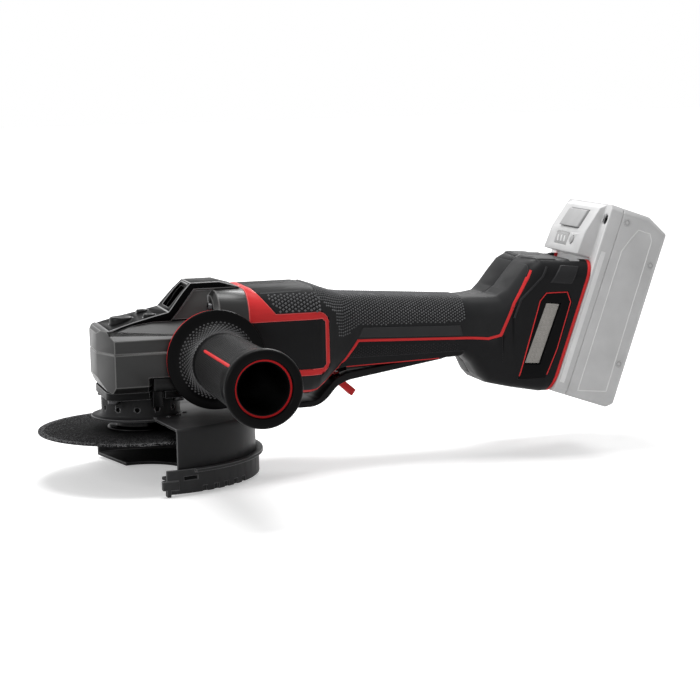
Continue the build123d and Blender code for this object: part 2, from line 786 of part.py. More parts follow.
upper_bearing_z = motor_z + UPPER_BEARING_ABOVE
gear_cavity_top = head_bottom + GEAR_CAVITY_HEIGHT
AIR_WAY_LENGTH = 8.0
AIR_WAY_HALF = 12.0
with BuildPart() as gear_housing:
    add(head_solid.part)
    with BuildSketch(Plane.XY.offset(head_bottom)):
        Circle(GEAR_CAVITY_RADIUS)
    extrude(amount=GEAR_CAVITY_HEIGHT, mode=Mode.SUBTRACT)
    with BuildSketch(Plane.XY.offset(gear_cavity_top)):
        Circle(SPINDLE_TOP_RADIUS + 0.6)
    extrude(amount=upper_bearing_z - gear_cavity_top, mode=Mode.SUBTRACT)
    with BuildSketch(Plane.XY.offset(upper_bearing_z)):
        Circle(UPPER_BEARING[1] + SLIP)
    extrude(amount=UPPER_BEARING[2], mode=Mode.SUBTRACT)
    with BuildSketch(motor_plane(PINION_TUNNEL_START)):
        Circle(PINION_TUNNEL_RADIUS)
    extrude(amount=FRONT_BEARING_X - PINION_TUNNEL_START, mode=Mode.SUBTRACT)
    with BuildSketch(motor_plane(FRONT_BEARING_X)):
        Circle(FRONT_BEARING[1] + SLIP)
    extrude(amount=FRONT_BEARING[2], mode=Mode.SUBTRACT)
    with BuildSketch(motor_plane(FAN_CHAMBER_START)):
        Circle(FAN_CHAMBER_RADIUS)
    extrude(amount=HEAD_FLANGE_END - FAN_CHAMBER_START, mode=Mode.SUBTRACT)
    with BuildSketch(Plane.XY.offset(motor_z)):
        with Locations((FAN_CHAMBER_START + 3 + AIR_WAY_LENGTH / 2, 0)):
            Rectangle(AIR_WAY_LENGTH, 2 * AIR_WAY_HALF)
    extrude(amount=BARREL_TOP, mode=Mode.SUBTRACT)
    with BuildSketch(Plane.XY.offset(motor_z + LOCK_FLOOR)):
        with Locations((-LOCK_OFFSET, 0)):
            Circle(LOCK_BUTTON_RADIUS + PLAY)
    extrude(amount=REACH / 8, mode=Mode.SUBTRACT)
    with BuildSketch(Plane.XY.offset(head_bottom)):
        with Locations((-LOCK_OFFSET, 0)):
            Circle(LOCK_PIN_RADIUS + RUN)
    extrude(amount=REACH / 8, mode=Mode.SUBTRACT)
    with BuildSketch(Plane.XY.offset(head_bottom)):
        with GridLocations(2 * COVER_SCREW_OFFSET, 2 * COVER_SCREW_OFFSET, 2, 2):
            Circle(SCREW_RADIUS + SLIP)
    extrude(amount=12, mode=Mode.SUBTRACT)
    with BuildSketch(motor_plane(HEAD_FLANGE_START)):
        with GridLocations(2 * HEAD_SCREW_OFFSET, 2 * HEAD_SCREW_OFFSET, 2, 2):
            Circle(SCREW_RADIUS + SLIP)
    extrude(amount=HEAD_FLANGE_END - HEAD_FLANGE_START, mode=Mode.SUBTRACT)
    with BuildSketch(motor_plane(HEAD_FLANGE_START)):
        with GridLocations(2 * HEAD_SCREW_OFFSET, 2 * HEAD_SCREW_OFFSET, 2, 2):
            Circle(SCREW_HEAD_RADIUS + PLAY)
    extrude(amount=-REACH / 8, mode=Mode.SUBTRACT)
    for face_side in (1, -1):
        with BuildSketch(handle_plane.offset(face_side * HANDLE_BOSS_FACE)):
            Circle(HANDLE_THREAD_RADIUS)
        extrude(amount=-face_side * HANDLE_THREAD_DEPTH, mode=Mode.SUBTRACT)
    with BuildSketch(Plane.XY.offset(head_bottom)):
        with Locations((LEVER_PIVOT[0] - 5, -HEAD_HALF_WIDTH)):
            Rectangle(26, 15)
    extrude(amount=lever_notch_top - head_bottom, mode=Mode.SUBTRACT)
    with BuildSketch(Plane.XY.offset(lever_notch_top)):
        with Locations(LEVER_PIVOT):
            Circle(LEVER_PIVOT_RADIUS + RUN)
    extrude(amount=LEVER_STUB, mode=Mode.SUBTRACT)
    with BuildSketch(Plane.XY.offset(motor_z + HOOD_SCREW_SEAT)):
        with Locations(HOOD_SCREW, (HOOD_SCREW[0], -HOOD_SCREW[1])):
            Circle(SCREW_RADIUS + SLIP)
    extrude(amount=-HOOD_SCREW_LENGTH, mode=Mode.SUBTRACT)
finish(gear_housing, "gear_housing")

hood_end = [
    (HOOD_FRONT_HALF + 1.5, HEAD_EDGE - 4),
    (HOOD_FRONT_HALF, h0z - 1),
    (HOOD_HALF, h2z + 1),
    (HOOD_TOP_HALF, HOOD_LINE[4][1] + 1),
]
hood_plan = [(h0x, HOOD_FRONT_HALF), (6.0, HOOD_HALF), (HEAD_FLANGE_END - PLAY, HOOD_HALF)]
hood_room = [
    (h2x + 2, h2z - HOOD - 1),
    (26.0, 31.4),
    (31.2, 36.8),
    (48.0, 36.8),
    (59.0, 33.4),
    (59.0, h2z - HOOD - 1),
]
AIR_POCKET = (17.4, 29.4)
AIR_POCKET_HALF = 11.0
with BuildPart() as gear_shroud:
    add(side_prism(HOOD_LINE + HOOD_BACK + [(61.2, 8.0), (h0x, 8.0)], DEEP))
    with BuildSketch(motor_plane(-REACH / 4)):
        with BuildLine():
            Polyline(*mirrored(hood_end), close=True)
        make_face()
    extrude(amount=REACH / 2, mode=Mode.INTERSECT)
    with BuildSketch(Plane.XY):
        with BuildLine():
            Polyline(*(hood_plan + [(x, -y) for x, y in reversed(hood_plan)]), close=True)
        make_face()
    extrude(amount=REACH / 2, mode=Mode.INTERSECT)
    add(side_prism(hood_room, HOOD_TOP_HALF - 1.0), mode=Mode.SUBTRACT)
    add(head_solid.part, mode=Mode.SUBTRACT)
    with BuildSketch(Plane.XY.offset(motor_z)):
        with Locations((-LOCK_OFFSET, 0)):
            Circle(LOCK_BUTTON_RADIUS + PLAY)
    extrude(amount=REACH / 8, mode=Mode.SUBTRACT)
    with BuildSketch(Plane.XY.offset(motor_z)):
        with Locations(HOOD_SCREW, (HOOD_SCREW[0], -HOOD_SCREW[1])):
            Circle(SCREW_RADIUS + SLIP)
    extrude(amount=REACH / 8, mode=Mode.SUBTRACT)
    with BuildSketch(Plane.XY.offset(motor_z + HOOD_SCREW_SEAT)):
        with Locations(HOOD_SCREW, (HOOD_SCREW[0], -HOOD_SCREW[1])):
            Circle(SCREW_HEAD_RADIUS + PLAY)
    extrude(amount=REACH / 8, mode=Mode.SUBTRACT)
    with BuildSketch(Plane.XY.offset(motor_z + h2z - HOOD)):
        with Locations((sum(AIR_POCKET) / 2, 0)):
            RectangleRounded(AIR_POCKET[1] - AIR_POCKET[0], 2 * AIR_POCKET_HALF, 2)
    extrude(amount=REACH / 8, mode=Mode.SUBTRACT)
    with BuildSketch(motor_plane(HEAD_FLANGE_START)):
        with GridLocations(2 * HEAD_SCREW_OFFSET, 2 * HEAD_SCREW_OFFSET, 2, 2):
            Circle(SCREW_HEAD_RADIUS + PLAY)
    extrude(amount=-REACH / 8, mode=Mode.SUBTRACT)
finish(gear_shroud, "gear_shroud")

hood_screw_z = motor_z + HOOD_SCREW_SEAT
with BuildPart() as shroud_screws:
    for side in (1, -1):
        screw_plane = Plane(origin=(HOOD_SCREW[0], side * HOOD_SCREW[1], hood_screw_z), z_dir=(0, 0, 1))
        add(screw(screw_plane, HOOD_SCREW_LENGTH - 1))
finish(shroud_screws, "shroud_screws")

lower_bearing_z = neck_bottom + 2.0
LIP_HOLE_RADIUS = 12.0
COVER_CORNER = 10.0
PAWL_X = 5.5
PAWL_HALF = 3.0
with BuildPart() as bearing_cover:
    with BuildSketch(Plane.XY.offset(cover_bottom)):
        RectangleRounded(COVER_LENGTH, COVER_WIDTH, COVER_CORNER)
        with GridLocations(2 * COVER_SCREW_OFFSET, 2 * COVER_SCREW_OFFSET, 2, 2):
            Circle(SCREW_RADIUS + SLIP, mode=Mode.SUBTRACT)
    extrude(amount=COVER_PLATE)
    with BuildSketch(Plane.XY.offset(cover_bottom)):
        with Locations((PAWL_X, -NECK_RADIUS - 2 - COVER_WIDTH / 2)):
            Rectangle(2 * PAWL_HALF + 3, COVER_WIDTH)
    extrude(amount=COVER_PLATE, mode=Mode.SUBTRACT)
    with BuildSketch(Plane.XY.offset(neck_bottom)):
        Circle(NECK_RADIUS)
    extrude(amount=NECK_LENGTH)
    with BuildSketch(Plane.XY.offset(neck_bottom)):
        Circle(LIP_HOLE_RADIUS)
    extrude(amount=NECK_LENGTH + COVER_PLATE, mode=Mode.SUBTRACT)
    with BuildSketch(Plane.XY.offset(lower_bearing_z)):
        Circle(LOWER_BEARING[1] + SLIP)
    extrude(amount=NECK_LENGTH + COVER_PLATE, mode=Mode.SUBTRACT)
finish(bearing_cover, "bearing_cover")

with BuildPart() as gear_head_screws:
    for x in (-COVER_SCREW_OFFSET, COVER_SCREW_OFFSET):
        for y in (-COVER_SCREW_OFFSET, COVER_SCREW_OFFSET):
            add(screw(Plane(origin=(x, y, cover_bottom), z_dir=(0, 0, -1)), COVER_PLATE + 10))
    for y in (-HEAD_SCREW_OFFSET, HEAD_SCREW_OFFSET):
        for z in (-HEAD_SCREW_OFFSET, HEAD_SCREW_OFFSET):
            head_plane = Plane(origin=(HEAD_FLANGE_START, y, motor_z + z), z_dir=(-1, 0, 0))
            add(screw(head_plane, HEAD_FLANGE_END - HEAD_FLANGE_START + HEAD_SCREW_DEPTH - 2))
finish(gear_head_screws, "gear_head_screws")

finish(ball_bearing(Plane.XY.offset(lower_bearing_z), LOWER_BEARING), "spindle_lower_bearing")
finish(ball_bearing(Plane.XY.offset(upper_bearing_z), UPPER_BEARING), "spindle_upper_bearing")
finish(ball_bearing(motor_plane(FRONT_BEARING_X), FRONT_BEARING), "front_bearing")
finish(ball_bearing(motor_plane(REAR_BEARING_X), REAR_BEARING), "rear_bearing")

# Bevel gears: involute teeth on the back cones, drawn in towards the common apex
pinion_pitch_radius = GEAR_PITCH_RADIUS * PINION_TEETH / GEAR_TEETH
cone_length = sqrt(GEAR_PITCH_RADIUS ** 2 + pinion_pitch_radius ** 2)
cone_x = GEAR_PITCH_RADIUS / cone_length
cone_z = pinion_pitch_radius / cone_length
module = 2 * GEAR_PITCH_RADIUS / GEAR_TEETH
toe = (cone_length - GEAR_FACE) / cone_length
shift_thickness = 2 * PROFILE_SHIFT * module * tan(radians(PRESSURE_ANGLE))
gear_addendum = (1 - PROFILE_SHIFT) * module
gear_dedendum = (1.25 + PROFILE_SHIFT) * module
pinion_addendum = (1 + PROFILE_SHIFT) * module
pinion_dedendum = (1.25 - PROFILE_SHIFT) * module
gear_tooth = pi * module / 2 - shift_thickness - GEAR_BACKLASH / 2
pinion_tooth = pi * module / 2 + shift_thickness - GEAR_BACKLASH / 2
TOOTH_ROOT = 0.5


def involute(angle):
    return tan(angle) - angle


def tooth_outline(back_radius, addendum, dedendum, thickness):
    """Half widths of one tooth at heights over its pitch line, as a closed outline."""
    base = back_radius * cos(radians(PRESSURE_ANGLE))
    heights = [-dedendum, -dedendum / 2, 0, addendum / 2, addendum]
    right = []
    for height in heights:
        radius = back_radius + height
        pressure = acos(min(base / radius, 1.0))
        half = thickness / (2 * back_radius) + involute(radians(PRESSURE_ANGLE)) - involute(pressure)
        right.append((radius * sin(half), radius * cos(half) - back_radius))
    root = [(right[0][0], -dedendum - TOOTH_ROOT)]
    return mirrored(root + right)


def bevel_tooth(up, outline):
    """A tooth over (up = 1) or under (up = -1) the apex, from its heel to its toe."""
    with BuildPart() as tooth:
        for scale in (1.0, toe):
            point = (GEAR_PITCH_RADIUS * scale, 0, motor_z + up * pinion_pitch_radius * scale)
            plane = Plane(origin=point, x_dir=(0, 1, 0), z_dir=(cone_x, 0, up * cone_z))
            with BuildSketch(plane):
                with BuildLine():
                    Polyline(*[(x * scale, z * scale) for x, z in outline], close=True)
                make_face()
        loft(ruled=True)
    return tooth.part


gear_back_radius = GEAR_PITCH_RADIUS / cone_z
pinion_back_radius = pinion_pitch_radius / cone_x
gear_profile = tooth_outline(gear_back_radius, gear_addendum, gear_dedendum, gear_tooth)
pinion_profile = tooth_outline(pinion_back_radius, pinion_addendum, pinion_dedendum, pinion_tooth)
gear_tooth_part = bevel_tooth(-1, gear_profile)
pinion_tooth_part = bevel_tooth(1, pinion_profile)

gear_root_r = GEAR_PITCH_RADIUS - gear_dedendum * cone_z
gear_root_z = -pinion_pitch_radius - gear_dedendum * cone_x
GEAR_HUB_RADIUS = 9.0
gear_hub_bottom = lower_bearing_z + LOWER_BEARING[2] + PLAY
gear_web_top = motor_z + gear_root_z * toe
spindle_axis_plane = Plane(origin=(0, 0, 0), x_dir=(1, 0, 0), z_dir=(0, -1, 0))
with BuildPart() as bevel_gear:
    with BuildSketch(spindle_axis_plane):
        with BuildLine():
            Polyline(
                (SPINDLE_RADIUS + SLIP, gear_hub_bottom),
                (GEAR_HUB_RADIUS, gear_hub_bottom),
                (GEAR_HUB_RADIUS, motor_z + gear_root_z - 6),
                (gear_root_r - 1, motor_z + gear_root_z - 3),
                (gear_root_r, motor_z + gear_root_z),
                (gear_root_r * toe, gear_web_top),
                (SPINDLE_RADIUS + SLIP, gear_web_top),
                close=True,
            )
        make_face()
    revolve(axis=Axis.Z)
    step = 360 / GEAR_TEETH
    add([gear_tooth_part.rotate(Axis.Z, step * i) for i in range(GEAR_TEETH)])
    with BuildSketch(Plane.XY.offset(gear_web_top)):
        with PolarLocations(LOCK_OFFSET, 4):
            Circle(LOCK_PIN_RADIUS + PLAY)
    extrude(amount=-LOCK_TRAVEL - 1, mode=Mode.SUBTRACT)
finish(bevel_gear, "bevel_gear")

motor_axis = Axis((0, 0, motor_z), (1, 0, 0))
SHAFT_NOSE_RADIUS = 2.5
PINION_HUB_END = 27.0
pinion_root_x = GEAR_PITCH_RADIUS + pinion_dedendum * cone_z
pinion_root_r = pinion_pitch_radius - pinion_dedendum * cone_x
with BuildPart() as drive_pinion:
    with BuildSketch(motor_side):
        with BuildLine():
            Polyline(
                (pinion_root_x * toe, SHAFT_NOSE_RADIUS + SLIP),
                (pinion_root_x * toe, pinion_root_r * toe),
                (pinion_root_x, pinion_root_r),
                (PINION_HUB_END, pinion_root_r),
                (PINION_HUB_END, SHAFT_NOSE_RADIUS + SLIP),
                close=True,
            )
        make_face()
    revolve(axis=motor_axis)
    pinion_step = 360 / PINION_TEETH
    add([pinion_tooth_part.rotate(motor_axis, pinion_step * (i + 0.5)) for i in range(PINION_TEETH)])
finish(drive_pinion, "drive_pinion")

# Spindle and what it carries
spindle_top = upper_bearing_z + UPPER_BEARING[2] - PLAY
SPINDLE_COLLAR = 0.4
with BuildPart() as spindle:
    with BuildSketch(spindle_axis_plane):
        with BuildLine():
            Polyline(
                (0, 0),
                (SPINDLE_THREAD_RADIUS - 0.5, 0),
                (SPINDLE_THREAD_RADIUS, 0.5),
                (SPINDLE_THREAD_RADIUS, nut_bottom - THREAD_RELIEF),
                (SPINDLE_THREAD_RADIUS - THREAD_RELIEF_DEPTH, nut_bottom - THREAD_RELIEF),
                (SPINDLE_THREAD_RADIUS - THREAD_RELIEF_DEPTH, nut_bottom),
                (SPINDLE_THREAD_RADIUS, nut_bottom),
                (SPINDLE_THREAD_RADIUS, flange_top),
                (SPINDLE_SHOULDER_RADIUS, flange_top),
                (SPINDLE_SHOULDER_RADIUS, lower_bearing_z - SPINDLE_COLLAR),
                (SPINDLE_RADIUS, lower_bearing_z - SPINDLE_COLLAR),
                (SPINDLE_RADIUS, gear_web_top + 0.8),
                (SPINDLE_TOP_RADIUS, gear_web_top + 0.8),
                (SPINDLE_TOP_RADIUS, spindle_top),
                (0, spindle_top),
                close=True,
            )
        make_face()
    revolve(axis=Axis.Z)
finish(spindle, "spindle")

SPIGOT = 0.9
with BuildPart() as inner_flange:
    with BuildSketch(spindle_axis_plane):
        with BuildLine():
            Polyline(
                (SPINDLE_THREAD_RADIUS + SLIP, disc_top - SPIGOT),
                (DISC_BORE_RADIUS - 2 * SLIP, disc_top - SPIGOT),
                (DISC_BORE_RADIUS - 2 * SLIP, disc_top),
                (FLANGE_RADIUS, disc_top),
                (FLANGE_RADIUS, disc_top + FLANGE_THICKNESS / 2),
                (FLANGE_RADIUS - 1, disc_top + FLANGE_THICKNESS),
                (FLANGE_HUB_RADIUS, disc_top + FLANGE_THICKNESS),
                (FLANGE_HUB_RADIUS, flange_top),
                (SPINDLE_THREAD_RADIUS + SLIP, flange_top),
                close=True,
            )
        make_face()
    revolve(axis=Axis.Z)
finish(inner_flange, "inner_flange")

with BuildPart() as cutting_disc:
    with BuildSketch(Plane.XY.offset(disc_bottom)):
        Circle(DISC_RADIUS)
        Circle(DISC_BORE_RADIUS, mode=Mode.SUBTRACT)
    extrude(amount=DISC_THICKNESS)
finish(cutting_disc, "cutting_disc")

NUT_BOSS_RADIUS = 11.0
NUT_BOSS = 2.4
with BuildPart() as outer_flange_nut:
    with BuildSketch(spindle_axis_plane):
        with BuildLine():
            Polyline(
                (SPINDLE_THREAD_RADIUS + SLIP, nut_bottom),
                (NUT_BOSS_RADIUS, nut_bottom),
                (NUT_BOSS_RADIUS, nut_bottom + NUT_BOSS),
                (NUT_RADIUS - 1, nut_bottom + NUT_BOSS),
                (NUT_RADIUS, nut_bottom + NUT_BOSS + 1),
                (NUT_RADIUS, disc_bottom),
                (SPINDLE_THREAD_RADIUS + SLIP, disc_bottom),
                close=True,
            )
        make_face()
    revolve(axis=Axis.Z)
    with BuildSketch(Plane.XY.offset(nut_bottom)):
        with PolarLocations(NUT_PIN_SPACING / 2, 2):
            Circle(NUT_PIN_HOLE_RADIUS)
    extrude(amount=NUT_THICKNESS, mode=Mode.SUBTRACT)
finish(outer_flange_nut, "outer_flange_nut")

# Spindle lock
LOCK_BUTTON_TOP = 19.4
LOCK_BUTTON_BOTTOM = 14.3
LOCK_CUP_RADIUS = 5.0
LOCK_CUP = 3.2
LOCK_PIN_GAP = 0.8
SPRING_WIRE = 0.45
SPRING_RADIUS = 3.6
SPRING_TURNS = 4
with BuildPart() as spindle_lock_button:
    with BuildSketch(Plane.XY.offset(motor_z + LOCK_BUTTON_BOTTOM)):
        with Locations((-LOCK_OFFSET, 0)):
            Circle(LOCK_BUTTON_RADIUS)
    extrude(amount=LOCK_BUTTON_TOP - LOCK_BUTTON_BOTTOM)
    fillet(edges().filter_by(GeomType.CIRCLE).sort_by(Axis.Z)[-1], radius=1.6)
    with BuildSketch(Plane.XY.offset(motor_z + LOCK_BUTTON_BOTTOM)):
        with Locations((-LOCK_OFFSET, 0)):
            Circle(LOCK_CUP_RADIUS)
    extrude(amount=LOCK_CUP, mode=Mode.SUBTRACT)
finish(spindle_lock_button, "spindle_lock_button")

with BuildPart() as spindle_lock_pin:
    with BuildSketch(Plane.XY.offset(gear_web_top + LOCK_PIN_GAP)):
        with Locations((-LOCK_OFFSET, 0)):
            Circle(LOCK_PIN_RADIUS)
    extrude(until=Until.NEXT, target=spindle_lock_button.part)
finish(spindle_lock_pin, "spindle_lock_pin")

spring_bottom = motor_z + LOCK_FLOOR + SPRING_WIRE
spring_height = LOCK_BUTTON_BOTTOM + LOCK_CUP - LOCK_FLOOR - 2 * SPRING_WIRE
with BuildPart() as spindle_lock_spring:
    with BuildLine(Plane(origin=(-LOCK_OFFSET, 0, spring_bottom))):
        Helix(pitch=spring_height / SPRING_TURNS, height=spring_height, radius=SPRING_RADIUS)
    with BuildSketch(Plane(origin=(SPRING_RADIUS - LOCK_OFFSET, 0, spring_bottom), z_dir=(0, 1, 0))):
        RegularPolygon(SPRING_WIRE, 6)
    sweep(is_frenet=True)
finish(spindle_lock_spring, "spindle_lock_spring")

# Motor
SHAFT_END = 116.0
SHAFT_REAR = 104.0
with BuildPart() as rotor_shaft:
    with BuildSketch(motor_side):
        with BuildLine():
            Polyline(
                (pinion_root_x * toe - 1, 0),
                (pinion_root_x * toe - 1, SHAFT_NOSE_RADIUS),
                (PINION_HUB_END, SHAFT_NOSE_RADIUS),
                (PINION_HUB_END, FRONT_BEARING[0]),
                (SHAFT_REAR, FRONT_BEARING[0]),
                (SHAFT_REAR, REAR_BEARING[0]),
                (SHAFT_END, REAR_BEARING[0]),
                (SHAFT_END, 0),
                close=True,
            )
        make_face()
    revolve(axis=motor_axis)
finish(rotor_shaft, "rotor_shaft")

with BuildPart() as rotor_core:
    with BuildSketch(motor_plane(STATOR_START)):
        Circle(ROTOR_RADIUS)
        Circle(FRONT_BEARING[0] + SLIP, mode=Mode.SUBTRACT)
    extrude(amount=STATOR_LENGTH)
finish(rotor_core, "rotor_core")

stator_bore = ROTOR_RADIUS + AIR_GAP
SLOT_SIZE = 6.4
SLOT_MOUTH = 2.2
SLOT_MIDDLE = 19.6
with BuildPart() as stator_core:
    with BuildSketch(motor_plane(STATOR_START)):
        Circle(STATOR_RADIUS)
        Circle(stator_bore, mode=Mode.SUBTRACT)
        with PolarLocations(SLOT_MIDDLE, SLOT_COUNT):
            Rectangle(SLOT_SIZE, SLOT_SIZE, mode=Mode.SUBTRACT)
        with PolarLocations(stator_bore, SLOT_COUNT):
            Rectangle(SLOT_SIZE, SLOT_MOUTH, mode=Mode.SUBTRACT)
    extrude(amount=STATOR_LENGTH)
finish(stator_core, "stator_core")

with BuildPart() as stator_windings:
    with BuildSketch(motor_plane(STATOR_START - END_TURN)):
        with PolarLocations(SLOT_MIDDLE, SLOT_COUNT):
            Rectangle(SLOT_SIZE - 2 * SLIP, SLOT_SIZE - 2 * SLIP)
    extrude(amount=STATOR_LENGTH + 2 * END_TURN)
    for x in (STATOR_START - END_TURN, STATOR_START + STATOR_LENGTH + SLIP):
        with BuildSketch(motor_plane(x)):
            Circle(SLOT_MIDDLE + SLOT_SIZE / 2)
            Circle(SLOT_MIDDLE - SLOT_SIZE / 2, mode=Mode.SUBTRACT)
        extrude(amount=END_TURN - SLIP)
finish(stator_windings, "stator_windings")

FAN_HUB_RADIUS = 8.0
FAN_PLATE = 1.5
FAN_BLADE = 1.2
FAN_BLADE_TURN = 25.0
with BuildPart() as cooling_fan:
    with BuildSketch(motor_plane(FAN_START)):
        Circle(FAN_HUB_RADIUS)
    extrude(amount=FAN_LENGTH)
    with BuildSketch(motor_plane(FAN_START + FAN_LENGTH - FAN_PLATE)):
        Circle(FAN_RADIUS)
    extrude(amount=FAN_PLATE)
    with BuildSketch(motor_plane(FAN_START)):
        with PolarLocations((FAN_HUB_RADIUS + FAN_RADIUS) / 2, FAN_BLADES):
            Rectangle(FAN_RADIUS - FAN_HUB_RADIUS - 1, FAN_BLADE, rotation=FAN_BLADE_TURN)
    extrude(amount=FAN_LENGTH)
    with BuildSketch(motor_plane(FAN_START)):
        Circle(FRONT_BEARING[0] + SLIP)
    extrude(amount=FAN_LENGTH, mode=Mode.SUBTRACT)
finish(cooling_fan, "cooling_fan")

# Wheel guard: a half-round sheet with a skirt, pressed up to a collar round the neck
collar_inner = NECK_RADIUS + RUN
collar_outer = collar_inner + GUARD_COLLAR_SHEET
COLLAR_GAP = 0.3
COLLAR_HOLE_RADIUS = 1.4
COLLAR_HOLES = 12


def sector(radius, start, sweep):
    """A pie-shaped face about the spindle."""
    first = (radius * cos(radians(start)), radius * sin(radians(start)))
    last = (radius * cos(radians(start + sweep)), radius * sin(radians(start + sweep)))
    with BuildSketch() as pie:
        with BuildLine():
            Line((0, 0), first)
            CenterArc((0, 0), radius, start, sweep)
            Line(last, (0, 0))
        make_face()
    return pie.sketch


with BuildPart() as wheel_guard:
    with BuildSketch(Plane.XY.offset(guard_plate_top - GUARD_SHEET)):
        add(sector(GUARD_RADIUS, GUARD_START, GUARD_SWEEP))
        Circle(GUARD_FLARE_RADIUS)
    extrude(amount=GUARD_SHEET)
    with BuildSketch(Plane.XY.offset(guard_skirt_bottom)):
        add(sector(GUARD_RADIUS, GUARD_START, GUARD_SWEEP))
        Circle(GUARD_RADIUS - GUARD_SHEET, mode=Mode.SUBTRACT)
    extrude(amount=GUARD_SKIRT_DEPTH)
    with BuildSketch(Plane.XY.offset(guard_plate_top - GUARD_SHEET)):
        Circle(collar_outer)
    extrude(amount=cover_bottom - COLLAR_GAP - guard_plate_top + GUARD_SHEET)
    with BuildSketch(Plane.XY.offset(guard_skirt_bottom)):
        Circle(collar_inner)
    extrude(amount=GUARD_SKIRT_DEPTH + NECK_LENGTH + 5, mode=Mode.SUBTRACT)
    for i in range(COLLAR_HOLES):
        turn = 360 / COLLAR_HOLES * (i + 0.5)
        way = (cos(radians(turn)), sin(radians(turn)), 0)
        with BuildSketch(Plane(origin=(0, 0, guard_plate_top + 5), z_dir=way)):
            Circle(COLLAR_HOLE_RADIUS)
        extrude(amount=GUARD_FLARE_RADIUS, mode=Mode.SUBTRACT)
finish(wheel_guard, "wheel_guard")

clip_inner = GUARD_RADIUS + SLIP
clip_top = guard_skirt_bottom + 1.0
clip_bottom = clip_top - CLIP_HEIGHT
clip_outer = clip_inner + CLIP_WALL
clip_floor_start = CLIP_START + CLIP_FLOOR_INSET
clip_floor_sweep = CLIP_SWEEP - CLIP_FLOOR_INSET
CLIP_NOTCHES = 5
CLIP_NOTCH = 3.4
CLIP_NOTCH_START = -69.6
CLIP_NOTCH_SWEEP = 33.0
CLIP_SLOT_START = 8.6
CLIP_SLOT_SWEEP = 7.0
CLIP_SLOT_HEIGHT = 8.0
CLIP_SLOT = 2.0
hook_turn = CLIP_HOOK / clip_outer * 180 / pi
with BuildPart() as guard_clip_cover:
    with BuildSketch(Plane.XY.offset(clip_bottom)):
        add(sector(clip_outer, CLIP_START, CLIP_SWEEP))
        Circle(clip_inner, mode=Mode.SUBTRACT)
    extrude(amount=CLIP_HEIGHT)
    with BuildSketch(Plane.XY.offset(clip_top - 2)):
        add(sector(clip_outer + CLIP_LIP, clip_floor_start, clip_floor_sweep))
        Circle(clip_inner, mode=Mode.SUBTRACT)
    extrude(amount=2)
    with BuildSketch(Plane.XY.offset(clip_bottom)):
        add(sector(clip_outer, clip_floor_start, clip_floor_sweep))
        Circle(CLIP_CUTOUT_RADIUS, mode=Mode.SUBTRACT)
    extrude(amount=CLIP_PLATE)
    with BuildSketch(Plane.XY.offset(guard_skirt_bottom - CLIP_PLATE)):
        add(sector(clip_outer, clip_floor_start, clip_floor_sweep))
        Circle(GUARD_RADIUS - GUARD_SHEET - 1, mode=Mode.SUBTRACT)
    extrude(amount=CLIP_PLATE)
    with BuildSketch(Plane.XY.offset(clip_bottom + CLIP_HOOK_BOTTOM)):
        add(sector(clip_outer + 0.5, CLIP_START - hook_turn, 4 * hook_turn))
        Circle(clip_inner - CLIP_HOOK, mode=Mode.SUBTRACT)
    extrude(amount=CLIP_HOOK_TOP - CLIP_HOOK_BOTTOM)
    with BuildSketch(Plane.XY.offset(clip_bottom - CLIP_PRONG)):
        add(sector(clip_outer + 0.5, CLIP_START, hook_turn))
        Circle(clip_inner - CLIP_HOOK, mode=Mode.SUBTRACT)
    extrude(amount=CLIP_PRONG + CLIP_HOOK_BOTTOM)
    with BuildSketch(Plane.XY.offset(clip_bottom + CLIP_SLOT_HEIGHT)):
        add(sector(clip_outer + 1, CLIP_START + CLIP_SLOT_START, CLIP_SLOT_SWEEP))
        Circle(clip_inner - 1, mode=Mode.SUBTRACT)
    extrude(amount=CLIP_SLOT, mode=Mode.SUBTRACT)
    with BuildSketch(Plane.XY.offset(clip_bottom)):
        with PolarLocations(clip_outer, CLIP_NOTCHES, CLIP_NOTCH_START, CLIP_NOTCH_SWEEP):
            Rectangle(2.4, CLIP_NOTCH)
    extrude(amount=CLIP_NOTCH, mode=Mode.SUBTRACT)
finish(guard_clip_cover, "guard_clip_cover")

lever_bottom = head_bottom + 0.5
lever_top = lever_notch_top - 0.4
LEVER_OUT = 32.6
LEVER_IN = 27.0
LEVER_FRONT = 2.5
LEVER_BACK = 23.5
PAWL_IN = collar_outer + 0.6
pawl_bottom = cover_bottom - 5.0
with BuildPart() as guard_lever:
    with BuildSketch(Plane.XY.offset(lever_bottom)):
        with Locations(((LEVER_FRONT + LEVER_BACK) / 2, -(LEVER_OUT + LEVER_IN) / 2)):
            RectangleRounded(LEVER_BACK - LEVER_FRONT, LEVER_OUT - LEVER_IN, 1.5)
    extrude(amount=lever_top - lever_bottom)
    with BuildSketch(Plane.XY.offset(pawl_bottom)):
        with Locations((PAWL_X, -PAWL_IN)):
            Rectangle(2 * PAWL_HALF, LEVER_IN + 2 - PAWL_IN, align=(Align.CENTER, Align.MAX))
    extrude(amount=lever_bottom + 2 - pawl_bottom)
    with BuildSketch(Plane.XY.offset(lever_top)):
        with Locations(LEVER_PIVOT):
            Circle(LEVER_PIVOT_RADIUS)
    extrude(amount=LEVER_STUB - 0.5)
finish(guard_lever, "guard_lever")

